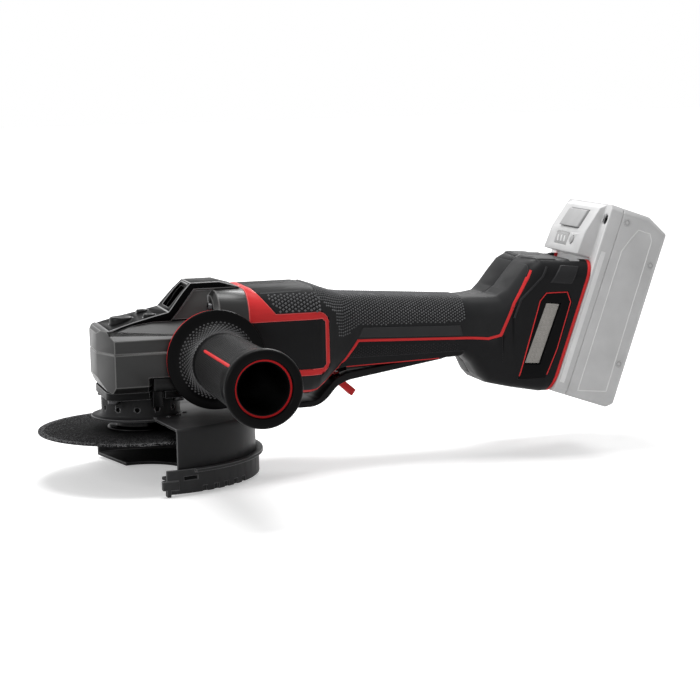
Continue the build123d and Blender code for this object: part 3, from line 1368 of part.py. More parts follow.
# Side handle, turned about its own axis
handle_half = Plane(origin=(HANDLE_X, 0, handle_z), x_dir=(1, 0, 0), z_dir=(0, 0, -1))
handle_axis = Axis((HANDLE_X, 0, handle_z), (0, -1, 0))
HANDLE_DISC = 2.2
HANDLE_PLATE = 2.5
BOLT_SEAT = 50.0
BOLT_HEAD = 5.5
BOLT_HEAD_RADIUS = 7.0
BOLT_WELL = 62.0
bore_radius = HANDLE_TUBE_RADIUS - HANDLE_TUBE_WALL
disc_face = HANDLE_BOSS_FACE + HANDLE_DISC
plate_face = disc_face + HANDLE_PLATE
with BuildPart() as handle_core:
    with BuildSketch(handle_half):
        with BuildLine():
            Polyline(
                (HANDLE_THREAD_RADIUS + SLIP, HANDLE_BOSS_FACE),
                (HANDLE_FLANGE_RADIUS - 0.4, HANDLE_BOSS_FACE),
                (HANDLE_FLANGE_RADIUS - 0.4, disc_face),
                (HANDLE_TUBE_RADIUS, disc_face),
                (HANDLE_TUBE_RADIUS, HANDLE_END - 3),
                (bore_radius, HANDLE_END - 3),
                (bore_radius, BOLT_WELL),
                (BOLT_HEAD_RADIUS + PLAY, BOLT_WELL),
                (BOLT_HEAD_RADIUS + PLAY, BOLT_SEAT),
                (HANDLE_THREAD_RADIUS + SLIP, BOLT_SEAT),
                close=True,
            )
        make_face()
    revolve(axis=handle_axis)
finish(handle_core, "handle_core")

with BuildPart() as handle_grip:
    with BuildSketch(handle_half):
        with BuildLine():
            Polyline(
                (HANDLE_TUBE_RADIUS + SLIP, disc_face),
                (HANDLE_FLANGE_RADIUS, disc_face),
                (HANDLE_FLANGE_RADIUS, plate_face),
                (HANDLE_BARREL_RADIUS + 6, plate_face + 0.9),
                (HANDLE_BARREL_RADIUS + 2.4, plate_face + 4),
                (HANDLE_BARREL_RADIUS + 0.6, plate_face + 8.5),
                (HANDLE_BARREL_RADIUS, plate_face + 15),
                (HANDLE_BARREL_RADIUS + 0.9, HANDLE_END - 22),
                (HANDLE_LIP_RADIUS - 1.2, HANDLE_END - 8.5),
                (HANDLE_LIP_RADIUS, HANDLE_END - 4),
                (HANDLE_LIP_RADIUS - 0.4, HANDLE_END - 1),
                (HANDLE_LIP_RADIUS - 1.4, HANDLE_END),
                (HANDLE_TUBE_RADIUS + 1.2, HANDLE_END),
                (HANDLE_TUBE_RADIUS + SLIP, HANDLE_END - 1.2),
                close=True,
            )
        make_face()
    revolve(axis=handle_axis)
finish(handle_grip, "handle_grip")

with BuildPart() as handle_bolt:
    with BuildSketch(handle_plane.offset(HANDLE_BOSS_FACE - HANDLE_THREAD_DEPTH + PLAY)):
        Circle(HANDLE_THREAD_RADIUS - SLIP)
    extrude(amount=BOLT_SEAT - HANDLE_BOSS_FACE + HANDLE_THREAD_DEPTH - PLAY)
    with BuildSketch(handle_plane.offset(BOLT_SEAT)):
        RegularPolygon(BOLT_HEAD_RADIUS, 6)
    extrude(amount=BOLT_HEAD)
finish(handle_bolt, "handle_bolt")

# Switch paddle, its pin, the lock-off lever and the switch above
PADDLE_LOWER = [
    (90.0, -41.2),
    (97.0, -41.7),
    (108.0, -41.6),
    (114.5, -36.5),
    (120.5, -29.6),
    (127.2, -26.4),
    (188.0, -17.0),
]
PADDLE_UPPER = [
    (184.0, -14.4),
    (127.0, -21.6),
    (119.0, -25.2),
    (113.2, -31.5),
    (107.5, -37.6),
    (97.0, -38.2),
    (90.0, -38.2),
]
lug = [(PADDLE_PIVOT_X + 4.2, -PADDLE_PIVOT_DROP - 3.0), (PADDLE_PIVOT_X + 4.2, -PADDLE_PIVOT_DROP + 1.5)]
lug += [(PADDLE_PIVOT_X + 1.5, -PADDLE_PIVOT_DROP + 4.2), (PADDLE_PIVOT_X - 2.5, -PADDLE_PIVOT_DROP + 4.0)]
lug += [(PADDLE_PIVOT_X - 5.0, -PADDLE_PIVOT_DROP + 1.5)]
LOCK_OFF_PIVOT = (123.5, -25.6)
LOCK_OFF_RADIUS = 1.2
LOCK_OFF_HALF = 3.9
LOCK_OFF_STUB = 6.0
POST_RADIUS = 3.2
POST_TOP = -14.9
PLUNGER_RADIUS = 3.0
PLUNGER_TOP = -5.0
with BuildPart() as paddle_switch:
    add(side_prism(PADDLE_LOWER + lug + PADDLE_UPPER, PADDLE_HALF_WIDTH))
    with BuildSketch(motor_side):
        with Locations((PADDLE_PIVOT_X, -PADDLE_PIVOT_DROP)):
            Circle(PADDLE_PIN_RADIUS + RUN)
    extrude(amount=PIN_HALF, both=True, mode=Mode.SUBTRACT)
    with BuildSketch(motor_side):
        with Locations((125.2, -26)):
            Rectangle(12.0, 30)
    extrude(amount=LOCK_OFF_HALF + PLAY, both=True, mode=Mode.SUBTRACT)
    with BuildSketch(motor_side):
        with Locations(LOCK_OFF_PIVOT):
            Circle(LOCK_OFF_RADIUS + RUN)
    extrude(amount=LOCK_OFF_STUB + PLAY, both=True, mode=Mode.SUBTRACT)
    with BuildSketch(Plane.XY.offset(motor_z + POST_TOP)):
        with Locations((PLUNGER_X, 0)):
            Circle(POST_RADIUS)
    extrude(amount=-5.5)
finish(paddle_switch, "paddle_switch")

with BuildPart() as paddle_pin:
    with BuildSketch(motor_side):
        with Locations((PADDLE_PIVOT_X, -PADDLE_PIVOT_DROP)):
            Circle(PADDLE_PIN_RADIUS)
    extrude(amount=PIN_HALF, both=True)
finish(paddle_pin, "paddle_pin")

lever_x, lever_z = LOCK_OFF_PIVOT
lock_off_outline = [
    (lever_x - 2.0, lever_z + 2.4),
    (lever_x + 1.2, lever_z + 3.2),
    (lever_x + 2.4, lever_z - 0.6),
    (lever_x + 9.4, lever_z - 4.6),
    (lever_x + 8.4, lever_z - 6.4),
    (lever_x - 0.8, lever_z - 3.4),
]
with BuildPart() as lock_off_lever:
    add(side_prism(lock_off_outline, LOCK_OFF_HALF))
    with BuildSketch(motor_side):
        with Locations(LOCK_OFF_PIVOT):
            Circle(LOCK_OFF_RADIUS)
    extrude(amount=LOCK_OFF_STUB, both=True)
finish(lock_off_lever, "lock_off_lever")

SWITCH_START = 142.5
SWITCH_LENGTH = 23.5
SWITCH_HALF = 10.0
SWITCH_BOTTOM = -11.3
SWITCH_TOP = 9.0
with BuildPart() as switch_module:
    with BuildSketch(motor_side):
        with Locations((SWITCH_START, SWITCH_BOTTOM)):
            Rectangle(SWITCH_LENGTH, SWITCH_TOP - SWITCH_BOTTOM, align=(Align.MIN, Align.MIN))
    extrude(amount=SWITCH_HALF, both=True)
    with BuildSketch(Plane.XY.offset(motor_z + SWITCH_BOTTOM)):
        with Locations((PLUNGER_X, 0)):
            Circle(PLUNGER_RADIUS + RUN)
    extrude(amount=PLUNGER_TOP - SWITCH_BOTTOM + 3, mode=Mode.SUBTRACT)
finish(switch_module, "switch_module")

with BuildPart() as switch_plunger:
    with BuildSketch(Plane.XY.offset(motor_z + POST_TOP + PLAY)):
        with Locations((PLUNGER_X, 0)):
            Circle(PLUNGER_RADIUS)
    extrude(amount=PLUNGER_TOP - POST_TOP - PLAY)
finish(switch_plunger, "switch_plunger")

BOARD_X = 216.0
BOARD = 1.6
BOARD_HALF = 24.8
BOARD_BOTTOM = -19.0
BOARD_TOP = 9.0
CAPACITOR_RADIUS = 4.0
CAPACITOR = 12.0
with BuildPart() as controller_board:
    with BuildSketch(motor_plane(BOARD_X)):
        with Locations((0, (BOARD_BOTTOM + BOARD_TOP) / 2)):
            Rectangle(2 * BOARD_HALF, BOARD_TOP - BOARD_BOTTOM)
    extrude(amount=BOARD)
    with BuildSketch(motor_plane(BOARD_X + BOARD)):
        with GridLocations(14, 12, 2, 2):
            Circle(CAPACITOR_RADIUS)
    extrude(amount=CAPACITOR)
finish(controller_board, "controller_board")

# Battery seat terminals, and the pack that slides up off its rails
terminal_middle = (TERMINAL_BOTTOM + TERMINAL_TOP) / 2
BLADE_PITCH = 6.5
BLADE_COUNT = 4
BLADE = 0.8
BLADE_LENGTH = 20.0
BLADE_REACH = 5.5
TERMINAL_FLANGE = 3.5
with BuildPart() as terminal_block:
    with BuildSketch(seat.offset(-SLOT_DEPTH - SLIP)):
        with Locations((terminal_middle, 0)):
            Rectangle(TERMINAL_TOP - TERMINAL_BOTTOM - 2 * SLIP, 2 * (TERMINAL_HALF - SLIP))
    extrude(amount=-SEAT_WALL - 1)
    with BuildSketch(seat.offset(-SLOT_DEPTH - SEAT_WALL - SLIP)):
        with Locations((terminal_middle, 0)):
            Rectangle(TERMINAL_TOP - TERMINAL_BOTTOM + 5, 2 * TERMINAL_HALF + 5)
    extrude(amount=-TERMINAL_FLANGE)
    with BuildSketch(seat.offset(-SLOT_DEPTH - 1)):
        with Locations((terminal_middle, 0)):
            with GridLocations(0, BLADE_PITCH, 1, BLADE_COUNT):
                Rectangle(BLADE_LENGTH, BLADE)
    extrude(amount=BLADE_REACH + 1)
finish(terminal_block, "terminal_block")

NOSE_BOTTOM = 71.8
NOSE_HALF = 28.0
NOSE_FRONT = -9.3
NOSE_SHOULDER = (86.0, -8.6)
NOSE_CREST = (103.5, -3.6)
RAIL_TOP = 66.0
LID_FLOOR = 2.5
CHANNEL_HALF = TERMINAL_HALF + 0.6
CHANNEL_END = 42.0
CHANNEL_FLOOR = -3.0
BUTTON_BOTTOM = 88.0
BUTTON_TOP = 101.0
BUTTON_HALF = 15.0
BUTTON_INNER = -2.6
BUTTON_PROUD = 1.5
BUTTON_TRAVEL = 2.4
LAMP_BOTTOM = 76.0
LAMP_TOP = 84.0
LAMP_FLOOR = -7.9
LAMP_NEAR = -5.0
LAMP_FAR = 15.0
TEST_Y = -12.0
TEST_RADIUS = 2.5
TEST_INNER = -7.0
TEST_TRAVEL = 0.8
PACK_SCREW = (97.5, 31.6)
PACK_SCREW_SEAT = 4.0
PACK_BOSS_RADIUS = 3.6
PACK_BOSS_END = 20.0
PACK_SCREW_HEAD_RADIUS = 3.0


def pack_prism(points, half_depth):
    """A prism across the pack, from an outline (way along the slide, way out from the seat)."""
    with BuildPart() as prism:
        with BuildSketch(pack_side):
            with BuildLine():
                Polyline(*points, close=True)
            make_face()
        extrude(amount=half_depth, both=True)
    return prism.part


def pack_box(start, end, half, low, high):
    outline = [(start, low), (end, low), (end, high), (start, high)]
    return pack_prism(outline, half)


def nose_face(along):
    """How far the slanted front of the nose stands out at a place along the slide."""
    (ax, an), (bx, bn) = NOSE_SHOULDER, NOSE_CREST
    return blend(an, bn, (along - ax) / (bx - ax))


pack_screw_points = [(PACK_SCREW[0], PACK_SCREW[1]), (PACK_SCREW[0], -PACK_SCREW[1])]
inner_bottom = PACK_BOTTOM + PACK_WALL
inner_top = PACK_TOP - PACK_WALL
inner_half = PACK_HALF_WIDTH - PACK_WALL
with BuildPart() as battery_lid:
    add(pack_box(PACK_BOTTOM, PACK_TOP, PACK_HALF_WIDTH, PLAY, PACK_SPLIT))
    chamfer(edges().filter_by(lambda e: abs(e.tangent_at(0.5).dot(seat_normal)) > 0.99), length=3)
    nose = [(NOSE_BOTTOM, 1), (NOSE_BOTTOM, NOSE_FRONT), NOSE_SHOULDER, NOSE_CREST, (PACK_TOP - 0.5, 1)]
    add(pack_prism(nose, NOSE_HALF))
    add(pack_box(SLOT_BOTTOM + PLAY, RAIL_TOP, SLOT_NECK_HALF - PLAY, -SLOT_LIP - PLAY, 1))
    add(pack_box(SLOT_BOTTOM + PLAY, RAIL_TOP, SLOT_HALF - PLAY, -SLOT_DEPTH + PLAY, -SLOT_LIP - PLAY))
    add(pack_box(inner_bottom, inner_top, inner_half, LID_FLOOR, PACK_SPLIT), mode=Mode.SUBTRACT)
    with BuildSketch(seat.offset(LID_FLOOR)):
        with Locations(*pack_screw_points):
            Circle(PACK_BOSS_RADIUS)
    extrude(amount=PACK_SPLIT - LID_FLOOR)
    add(pack_box(PACK_BOTTOM, CHANNEL_END, CHANNEL_HALF, -SLOT_DEPTH, CHANNEL_FLOOR), mode=Mode.SUBTRACT)
    add(pack_box(BUTTON_BOTTOM, BUTTON_TOP, BUTTON_HALF, -SLOT_DEPTH, BUTTON_INNER + BUTTON_TRAVEL + PLAY),
        mode=Mode.SUBTRACT)
    with BuildSketch(seat.offset(LAMP_FLOOR)):
        with Locations(((LAMP_BOTTOM + LAMP_TOP) / 2, -(LAMP_NEAR + LAMP_FAR) / 2)):
            Rectangle(LAMP_TOP - LAMP_BOTTOM, LAMP_FAR - LAMP_NEAR)
        with Locations(((LAMP_BOTTOM + LAMP_TOP) / 2, -TEST_Y)):
            Circle(TEST_RADIUS + PLAY)
    extrude(amount=-SLOT_DEPTH, mode=Mode.SUBTRACT)
    with BuildSketch(seat.offset(TEST_INNER + TEST_TRAVEL + PLAY)):
        with Locations(((LAMP_BOTTOM + LAMP_TOP) / 2, -TEST_Y)):
            Circle(TEST_RADIUS + PLAY)
    extrude(amount=-SLOT_DEPTH, mode=Mode.SUBTRACT)
    with BuildSketch(seat):
        with Locations(*pack_screw_points):
            Circle(SHELL_SCREW_RADIUS + SLIP)
    extrude(amount=PACK_SPLIT, mode=Mode.SUBTRACT)
    with BuildSketch(seat.offset(PACK_SCREW_SEAT)):
        with Locations(*pack_screw_points):
            Circle(PACK_SCREW_HEAD_RADIUS + PLAY)
    extrude(amount=-PACK_SPLIT, mode=Mode.SUBTRACT)
finish(battery_lid, "battery_lid")

case_outline = [
    (PACK_BOTTOM, PACK_SPLIT),
    (PACK_BOTTOM, PACK_DEPTH - 4),
    (PACK_BOTTOM + 3.4, PACK_DEPTH),
    (PACK_TOP - 7, PACK_DEPTH - 0.5),
    (PACK_TOP, PACK_DEPTH - 15.5),
    (PACK_TOP, PACK_SPLIT),
]
room_outline = [
    (inner_bottom, PACK_SPLIT),
    (inner_bottom, PACK_DEPTH - 5),
    (inner_bottom + 2.4, PACK_DEPTH - PACK_WALL),
    (PACK_TOP - 8.2, PACK_DEPTH - PACK_WALL - 0.5),
    (inner_top, PACK_DEPTH - 16.1),
    (inner_top, PACK_SPLIT),
]
CASE_EDGE = 3.0
with BuildPart() as battery_case:
    add(pack_prism(case_outline, PACK_HALF_WIDTH))
    side_edges = faces().filter_by(Axis.Y).edges()
    chamfer(
        side_edges.filter_by(lambda e: (e.center() - seat_point).dot(seat_normal) > PACK_SPLIT + 0.5),
        length=CASE_EDGE,
    )
    add(pack_prism(room_outline, inner_half), mode=Mode.SUBTRACT)
    with BuildSketch(seat.offset(PACK_SPLIT)):
        with Locations(*pack_screw_points):
            Circle(PACK_BOSS_RADIUS)
    extrude(amount=PACK_BOSS_END - PACK_SPLIT)
    with BuildSketch(seat.offset(PACK_SPLIT)):
        with Locations(*pack_screw_points):
            Circle(SHELL_SCREW_RADIUS + SLIP)
    extrude(amount=PACK_BOSS_END - PACK_SPLIT - 1, mode=Mode.SUBTRACT)
finish(battery_case, "battery_case")

with BuildPart() as battery_screws:
    for along, across in pack_screw_points:
        head_point = seat_point + slide_way * along + seat_normal * PACK_SCREW_SEAT + Vector(0, -across, 0)
        head_plane = Plane(origin=head_point, z_dir=-seat_normal)
        pack_screw_length = PACK_BOSS_END - PACK_SCREW_SEAT - 2
        add(screw(head_plane, pack_screw_length, PACK_SCREW_HEAD_RADIUS, SHELL_SCREW_RADIUS))
finish(battery_screws, "battery_screws")

cell_row = LID_FLOOR + 2 * SLIP + CELL_RADIUS
row_step = sqrt(CELL_PITCH ** 2 - (CELL_PITCH / 2) ** 2)
with BuildPart() as battery_cells:
    with BuildSketch(pack_side.offset(-CELL_LENGTH / 2)):
        for row in range(2):
            for column in range(CELL_COLUMNS):
                along = inner_bottom + PLAY + CELL_RADIUS + CELL_PITCH * (column + row / 2)
                with Locations((along, cell_row + row * row_step)):
                    Circle(CELL_RADIUS)
    extrude(amount=CELL_LENGTH)
finish(battery_cells, "battery_cells")

CLIP_SHEET = 0.6
CLIP_GAP = 0.35
CONTACT_LENGTH = 16.0
CONTACT_REACH = 5.0
with BuildPart() as battery_contacts:
    with BuildSketch(seat.offset(CHANNEL_FLOOR)):
        with Locations((terminal_middle, 0)):
            with GridLocations(0, BLADE_PITCH, 1, BLADE_COUNT):
                Rectangle(CONTACT_LENGTH, BLADE + 2 * (CLIP_GAP + CLIP_SHEET))
    extrude(amount=-CONTACT_REACH)
    with BuildSketch(seat.offset(CHANNEL_FLOOR - 1.0)):
        with Locations((terminal_middle, 0)):
            with GridLocations(0, BLADE_PITCH, 1, BLADE_COUNT):
                Rectangle(CONTACT_LENGTH, BLADE + 2 * CLIP_GAP)
    extrude(amount=-CONTACT_REACH, mode=Mode.SUBTRACT)
finish(battery_contacts, "battery_contacts")

button_outline = [
    (BUTTON_BOTTOM + PLAY, BUTTON_INNER),
    (BUTTON_BOTTOM + PLAY, nose_face(BUTTON_BOTTOM) - BUTTON_PROUD),
    (BUTTON_TOP - PLAY, nose_face(BUTTON_TOP) - BUTTON_PROUD),
    (BUTTON_TOP - PLAY, BUTTON_INNER),
]
with BuildPart() as battery_release_button:
    add(pack_prism(button_outline, BUTTON_HALF - PLAY))
finish(battery_release_button, "battery_release_button")

LAMP = 1.0
with BuildPart() as charge_indicator:
    with BuildSketch(seat.offset(LAMP_FLOOR)):
        with Locations(((LAMP_BOTTOM + LAMP_TOP) / 2, -(LAMP_NEAR + LAMP_FAR) / 2)):
            Rectangle(LAMP_TOP - LAMP_BOTTOM - 2 * SLIP, LAMP_FAR - LAMP_NEAR - 2 * SLIP)
    extrude(amount=-LAMP)
finish(charge_indicator, "charge_indicator")

with BuildPart() as charge_button:
    with BuildSketch(seat.offset(TEST_INNER)):
        with Locations(((LAMP_BOTTOM + LAMP_TOP) / 2, -TEST_Y)):
            Circle(TEST_RADIUS)
    extrude(amount=NOSE_FRONT - TEST_INNER - 0.2)
finish(charge_button, "charge_button")
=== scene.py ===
# %% [markdown]
# # A cordless angle grinder, dressed for a studio picture
# The packed model is the skeleton: every body, joint and size comes from it. This lesson loads it,
# sets the camera where the picture was taken from, and then goes from piece to piece. Plain inner
# parts keep their packed shape and get a finish. What the eye rests on gets a finer surface.

# %% Load the packed model
import json
import math

import bmesh
import bpy
from mathutils import Matrix, Vector
from mathutils.bvhtree import BVHTree


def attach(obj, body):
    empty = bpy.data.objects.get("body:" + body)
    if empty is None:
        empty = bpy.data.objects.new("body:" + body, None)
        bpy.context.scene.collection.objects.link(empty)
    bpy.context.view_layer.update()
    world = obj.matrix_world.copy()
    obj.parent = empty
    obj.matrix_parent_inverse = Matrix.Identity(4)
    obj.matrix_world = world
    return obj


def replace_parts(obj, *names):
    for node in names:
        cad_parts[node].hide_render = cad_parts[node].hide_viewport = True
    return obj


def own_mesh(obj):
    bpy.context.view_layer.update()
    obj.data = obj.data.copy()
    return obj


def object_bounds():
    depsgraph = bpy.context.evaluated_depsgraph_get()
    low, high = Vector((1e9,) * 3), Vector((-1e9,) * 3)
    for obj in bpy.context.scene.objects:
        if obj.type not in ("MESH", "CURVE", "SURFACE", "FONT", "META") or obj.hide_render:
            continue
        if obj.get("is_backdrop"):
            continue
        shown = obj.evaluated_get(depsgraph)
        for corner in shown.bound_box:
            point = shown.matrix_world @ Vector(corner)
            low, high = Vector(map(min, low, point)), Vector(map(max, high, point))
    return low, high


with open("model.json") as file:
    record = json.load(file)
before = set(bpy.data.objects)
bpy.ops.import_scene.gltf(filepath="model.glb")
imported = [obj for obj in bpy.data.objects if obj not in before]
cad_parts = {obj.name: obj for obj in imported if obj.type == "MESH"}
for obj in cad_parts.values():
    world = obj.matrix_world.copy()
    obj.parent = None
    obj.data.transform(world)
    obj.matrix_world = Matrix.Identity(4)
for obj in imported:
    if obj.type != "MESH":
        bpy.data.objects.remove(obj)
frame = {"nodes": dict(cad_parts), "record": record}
nodes = frame["nodes"]
cad_low, cad_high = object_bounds()
MM = 0.001
MOTOR_Z = 60.0
print("nodes", len(nodes), "size in mm", [round(v / MM, 1) for v in cad_high - cad_low])

# %% [markdown]
# ## Camera
# A long lens, slightly above and to the left of the tool, with a little roll. Its numbers were
# found by matching known round and straight features, such as the wheel rim and the battery edges.

# %% Camera
CAMERA_AZIMUTH = math.radians(-15.92)
CAMERA_ELEVATION = math.radians(8.06)
CAMERA_ROLL = math.radians(-1.29)
CAMERA_DISTANCE = 1.24959
CAMERA_TARGET = Vector((0.13321, 0, 0.05024))
LENS_MM = 102.857
SENSOR_MM = 36

back = Vector(
    (
        math.sin(CAMERA_AZIMUTH) * math.cos(CAMERA_ELEVATION),
        -math.cos(CAMERA_AZIMUTH) * math.cos(CAMERA_ELEVATION),
        math.sin(CAMERA_ELEVATION),
    )
)
level = Vector((math.cos(CAMERA_AZIMUTH), math.sin(CAMERA_AZIMUTH), 0))
upright = back.cross(level)
right = math.cos(CAMERA_ROLL) * level + math.sin(CAMERA_ROLL) * upright
above = back.cross(right)
camera_data = bpy.data.cameras.new("camera")
camera_data.lens = LENS_MM
camera_data.sensor_width = SENSOR_MM
camera = bpy.data.objects.new("camera", camera_data)
bpy.context.scene.collection.objects.link(camera)
turn = Matrix((right, above, back)).transposed().to_4x4()
camera.matrix_world = Matrix.Translation(CAMERA_TARGET + back * CAMERA_DISTANCE) @ turn
bpy.context.scene.camera = camera
bpy.context.scene.view_settings.view_transform = "Standard"
print("camera at", [round(v, 3) for v in camera.location])

# %% [markdown]
# ## Shader sums
# A finish is a small tree of nodes. One class wraps a socket so that sums read as sums: `1 - mask`
# adds the Math node it needs. One method makes every other node, with its settings set first.


# %% Sockets and trees
class Value:
    """A socket of a tree that takes part in sums."""

    def __init__(self, owner, socket):
        self.owner = owner
        self.socket = socket

    def sum_node(self, operation, first, second):
        return self.owner.node("ShaderNodeMath", {"operation": operation}, {0: first, 1: second})

    def __add__(self, other):
        return self.sum_node("ADD", self, other)

    __radd__ = __add__

    def __sub__(self, other):
        return self.sum_node("SUBTRACT", self, other)

    def __rsub__(self, other):
        return self.sum_node("SUBTRACT", other, self)

    def __mul__(self, other):
        return self.sum_node("MULTIPLY", self, other)

    __rmul__ = __mul__

    def __pow__(self, other):
        return self.sum_node("POWER", self, other)

    def __gt__(self, other):
        return self.sum_node("GREATER_THAN", self, other)

    def __lt__(self, other):
        return self.sum_node("LESS_THAN", self, other)


class Tree:
    """A node tree with one way to make a node."""

    def __init__(self, tree):
        self.tree = tree

    def node(self, kind, settings=None, sockets=None, output=0):
        made = self.tree.nodes.new(kind)
        for key, value in (settings or {}).items():
            setattr(made, key, value)
        for key, value in (sockets or {}).items():
            self.join(made.inputs[key], value)
        return Value(self, made.outputs[output])

    def join(self, socket, value):
        if isinstance(value, Value):
            self.tree.links.new(value.socket, socket)
        else:
            socket.default_value = value

    def background_rays(self):
        """1 for rays that look at the background: from the camera, off a mirror or through a lens."""
        camera_rays = self.node("ShaderNodeLightPath", output="Is Camera Ray")
        glossy_rays = self.node("ShaderNodeLightPath", output="Is Glossy Ray")
        through_rays = self.node("ShaderNodeLightPath", output="Is Transmission Ray")
        return camera_rays + glossy_rays + through_rays


print("sums on sockets", [name for name in vars(Value) if name.startswith("__r")])


# %% One class for a finish
class Finish(Tree):
    """One material: a principled shader, with the nodes that feed it."""

    def __init__(self, name, color, roughness, metallic=0.0, **fixed):
        self.material = bpy.data.materials.new(name)
        self.material.use_nodes = True
        super().__init__(self.material.node_tree)
        self.shader = self.tree.nodes["Principled BSDF"]
        self.color = (*color[:3], 1.0)
        self.material.diffuse_color = self.color
        self.feed("Base Color", self.color)
        self.feed("Roughness", roughness)
        self.feed("Metallic", metallic)
        for socket, value in fixed.items():
            self.feed(socket.replace("_", " "), value)

    def feed(self, socket, value):
        self.join(self.shader.inputs[socket], value)

    def place(self):
        return self.node("ShaderNodeTexCoord", output="Object")

    def axis(self, index):
        """One of the model's own coordinates, in metres."""
        return self.node("ShaderNodeSeparateXYZ", sockets={0: self.place()}, output=index)

    def noise(self, grain_mm, detail=2.0):
        sockets = {"Vector": self.place(), "Scale": 1 / (grain_mm * MM), "Detail": detail}
        return self.node("ShaderNodeTexNoise", sockets=sockets)

    def mix(self, factor, first, second):
        return self.node("ShaderNodeMix", {"data_type": "RGBA"}, {0: factor, 6: first, 7: second}, 2)

    def bump(self, height, depth_mm, strength):
        sockets = {"Height": height, "Distance": depth_mm * MM, "Strength": strength}
        self.feed("Normal", self.node("ShaderNodeBump", sockets=sockets))

    def edges(self, radius_mm):
        """How much the surface turns within a short way: 0 on a face, near 1 on a sharp edge."""
        soft = self.node("ShaderNodeBevel", {"samples": 6}, {"Radius": radius_mm * MM})
        flat = self.node("ShaderNodeNewGeometry", output="Normal")
        both = {0: soft, 1: flat}
        return 1 - self.node("ShaderNodeVectorMath", {"operation": "DOT_PRODUCT"}, both, "Value")


def lighter(color, factor):
    return tuple(min(1.0, c * factor) for c in color[:3]) + (1.0,)


print("a finish can feed", [name for name in vars(Finish) if not name.startswith("_")])

# %% [markdown]
# ## Finishes
# Moulded plastic has a fine spark-eroded grain, and its edges are painted paler: a painted highlight
# along each edge. Cast metal has a coarser grain under its paint. Turned steel has lines round its
# axis. Pictures could be wrapped round the pieces instead, but noise at the real scale of the grain
# looks the same from every side. Black plastics reflect little of a white studio, so most have a low
# specular level.

# %% Moulded and turned finishes
DULL = {"Specular_IOR_Level": 0.05}
SHINY = {"Specular_IOR_Level": 0.16}
MATT = {"Specular_IOR_Level": 0.01}
PATCH_IN_GRAINS = 60
EDGE_HIGHLIGHT_GAIN = 2.5
PATCH_GLOSS = 0.12
GRAIN_GLOSS = 0.1
MARKS_ROUND = 900.0
MARKS_ALONG = 9000.0


def moulded(name, color, roughness, grain_mm, depth_mm, edge=1.6, edge_mm=0.5, dark_from=None, **fixed):
    """Plastic, rubber or paint with a fine grain, patchy gloss and edges painted so many times paler, as a
    painted highlight.

    Behind a station in mm the colour can be darker.
    """
    made = Finish(name, color, roughness, **fixed)
    grain = made.noise(grain_mm)
    patches = made.noise(grain_mm * PATCH_IN_GRAINS, 3.0)
    # The edge mask paints a highlight: edges turn towards a paler colour.
    rim = made.edges(edge_mm) * EDGE_HIGHLIGHT_GAIN
    face = made.mix(patches, lighter(color, 0.85), lighter(color, 1.15))
    if dark_from:
        # Darker behind the station.
        face = made.mix(made.axis(0) > dark_from * MM, face, lighter(color, 0.4))
    made.feed("Base Color", made.mix(rim, face, lighter(color, edge)))
    made.feed("Roughness", roughness + (patches - 0.5) * PATCH_GLOSS + (grain - 0.5) * GRAIN_GLOSS)
    made.bump(grain, depth_mm, 0.5)
    return made.material


def turned(name, color, roughness, axis):
    """Metal with fine tool marks round an axis, and a few duller patches."""
    made = Finish(name, color, roughness, 1.0)
    stretch = [MARKS_ALONG if i == axis else MARKS_ROUND for i in range(3)]
    where = made.node("ShaderNodeVectorMath", {"operation": "MULTIPLY"}, {0: made.place(), 1: stretch})
    marks = made.node("ShaderNodeTexNoise", sockets={"Vector": where, "Scale": 1.0, "Detail": 2.0})
    patches = made.noise(6.0, 3.0)
    made.feed("Base Color", made.mix(patches, lighter(color, 0.8), lighter(color, 1.1)))
    made.feed("Roughness", roughness + (marks - 0.5) * 0.2 + (patches - 0.5) * 0.1)
    made.bump(marks, 0.01, 0.3)
    return made.material


print("finishes so far", len(bpy.data.materials))

# %% Finishes of the body and the handle
shell_plastic = moulded("shell_plastic", (0.0145, 0.0145, 0.0153), 0.4, 0.35, 0.03, 5.0, 0.6, **DULL)
filter_plastic = moulded("filter_plastic", (0.004, 0.004, 0.0043), 0.45, 0.35, 0.03, 7.0, 0.6, **DULL)
# Paler copy of the shell plastic for facets and the crease: painted light.
facet_plastic_painted_light = moulded("facet_plastic_painted_light", (0.03, 0.03, 0.0312), 0.42, 0.3, 0.02, 3.0, 0.6, **DULL)
soft_rubber = moulded("soft_rubber", (0.0225, 0.0228, 0.0237), 0.44, 0.25, 0.02, 3.5, **DULL)
smooth_rubber = moulded("smooth_rubber", (0.04, 0.0405, 0.0418), 0.45, 0.25, 0.01, 3.0, **DULL)
# The studs are far paler than the skin they are moulded from: a painted highlight.
stud_rubber_painted_highlight = moulded("stud_rubber_painted_highlight", (0.12, 0.121, 0.125), 0.38, 0.25, 0.01, 2.0, **SHINY)
red_plastic = moulded("red_plastic", (0.66, 0.040, 0.042), 0.34, 0.3, 0.01, 1.3, **DULL)
# Paler red for the frame's bevel strips: a painted highlight.
red_painted_highlight = moulded("red_painted_highlight", (0.82, 0.13, 0.13), 0.3, 0.3, 0.01, 1.2, **SHINY)
panel_plastic = moulded("panel_plastic", (0.0135, 0.0135, 0.0143), 0.4, 0.2, 0.006, 2.0, **DULL)
# One rubber in three colours: the grip darker as painted shade, the barrel knurl lighter as painted light,
# the diamonds paler as a painted highlight.
handle_rubber = moulded("handle_rubber", (0.003, 0.003, 0.0032), 0.36, 0.3, 0.02, 4.0, **DULL)
barrel_rubber_painted_light = moulded("barrel_rubber_painted_light", (0.019, 0.019, 0.0194), 0.36, 0.3, 0.01, 4.0, **DULL)
diamond_rubber_painted_highlight = moulded("diamond_rubber_painted_highlight", (0.075, 0.075, 0.0765), 0.34, 0.3, 0.01, 2.0, **SHINY)
print("finishes so far", len(bpy.data.materials))

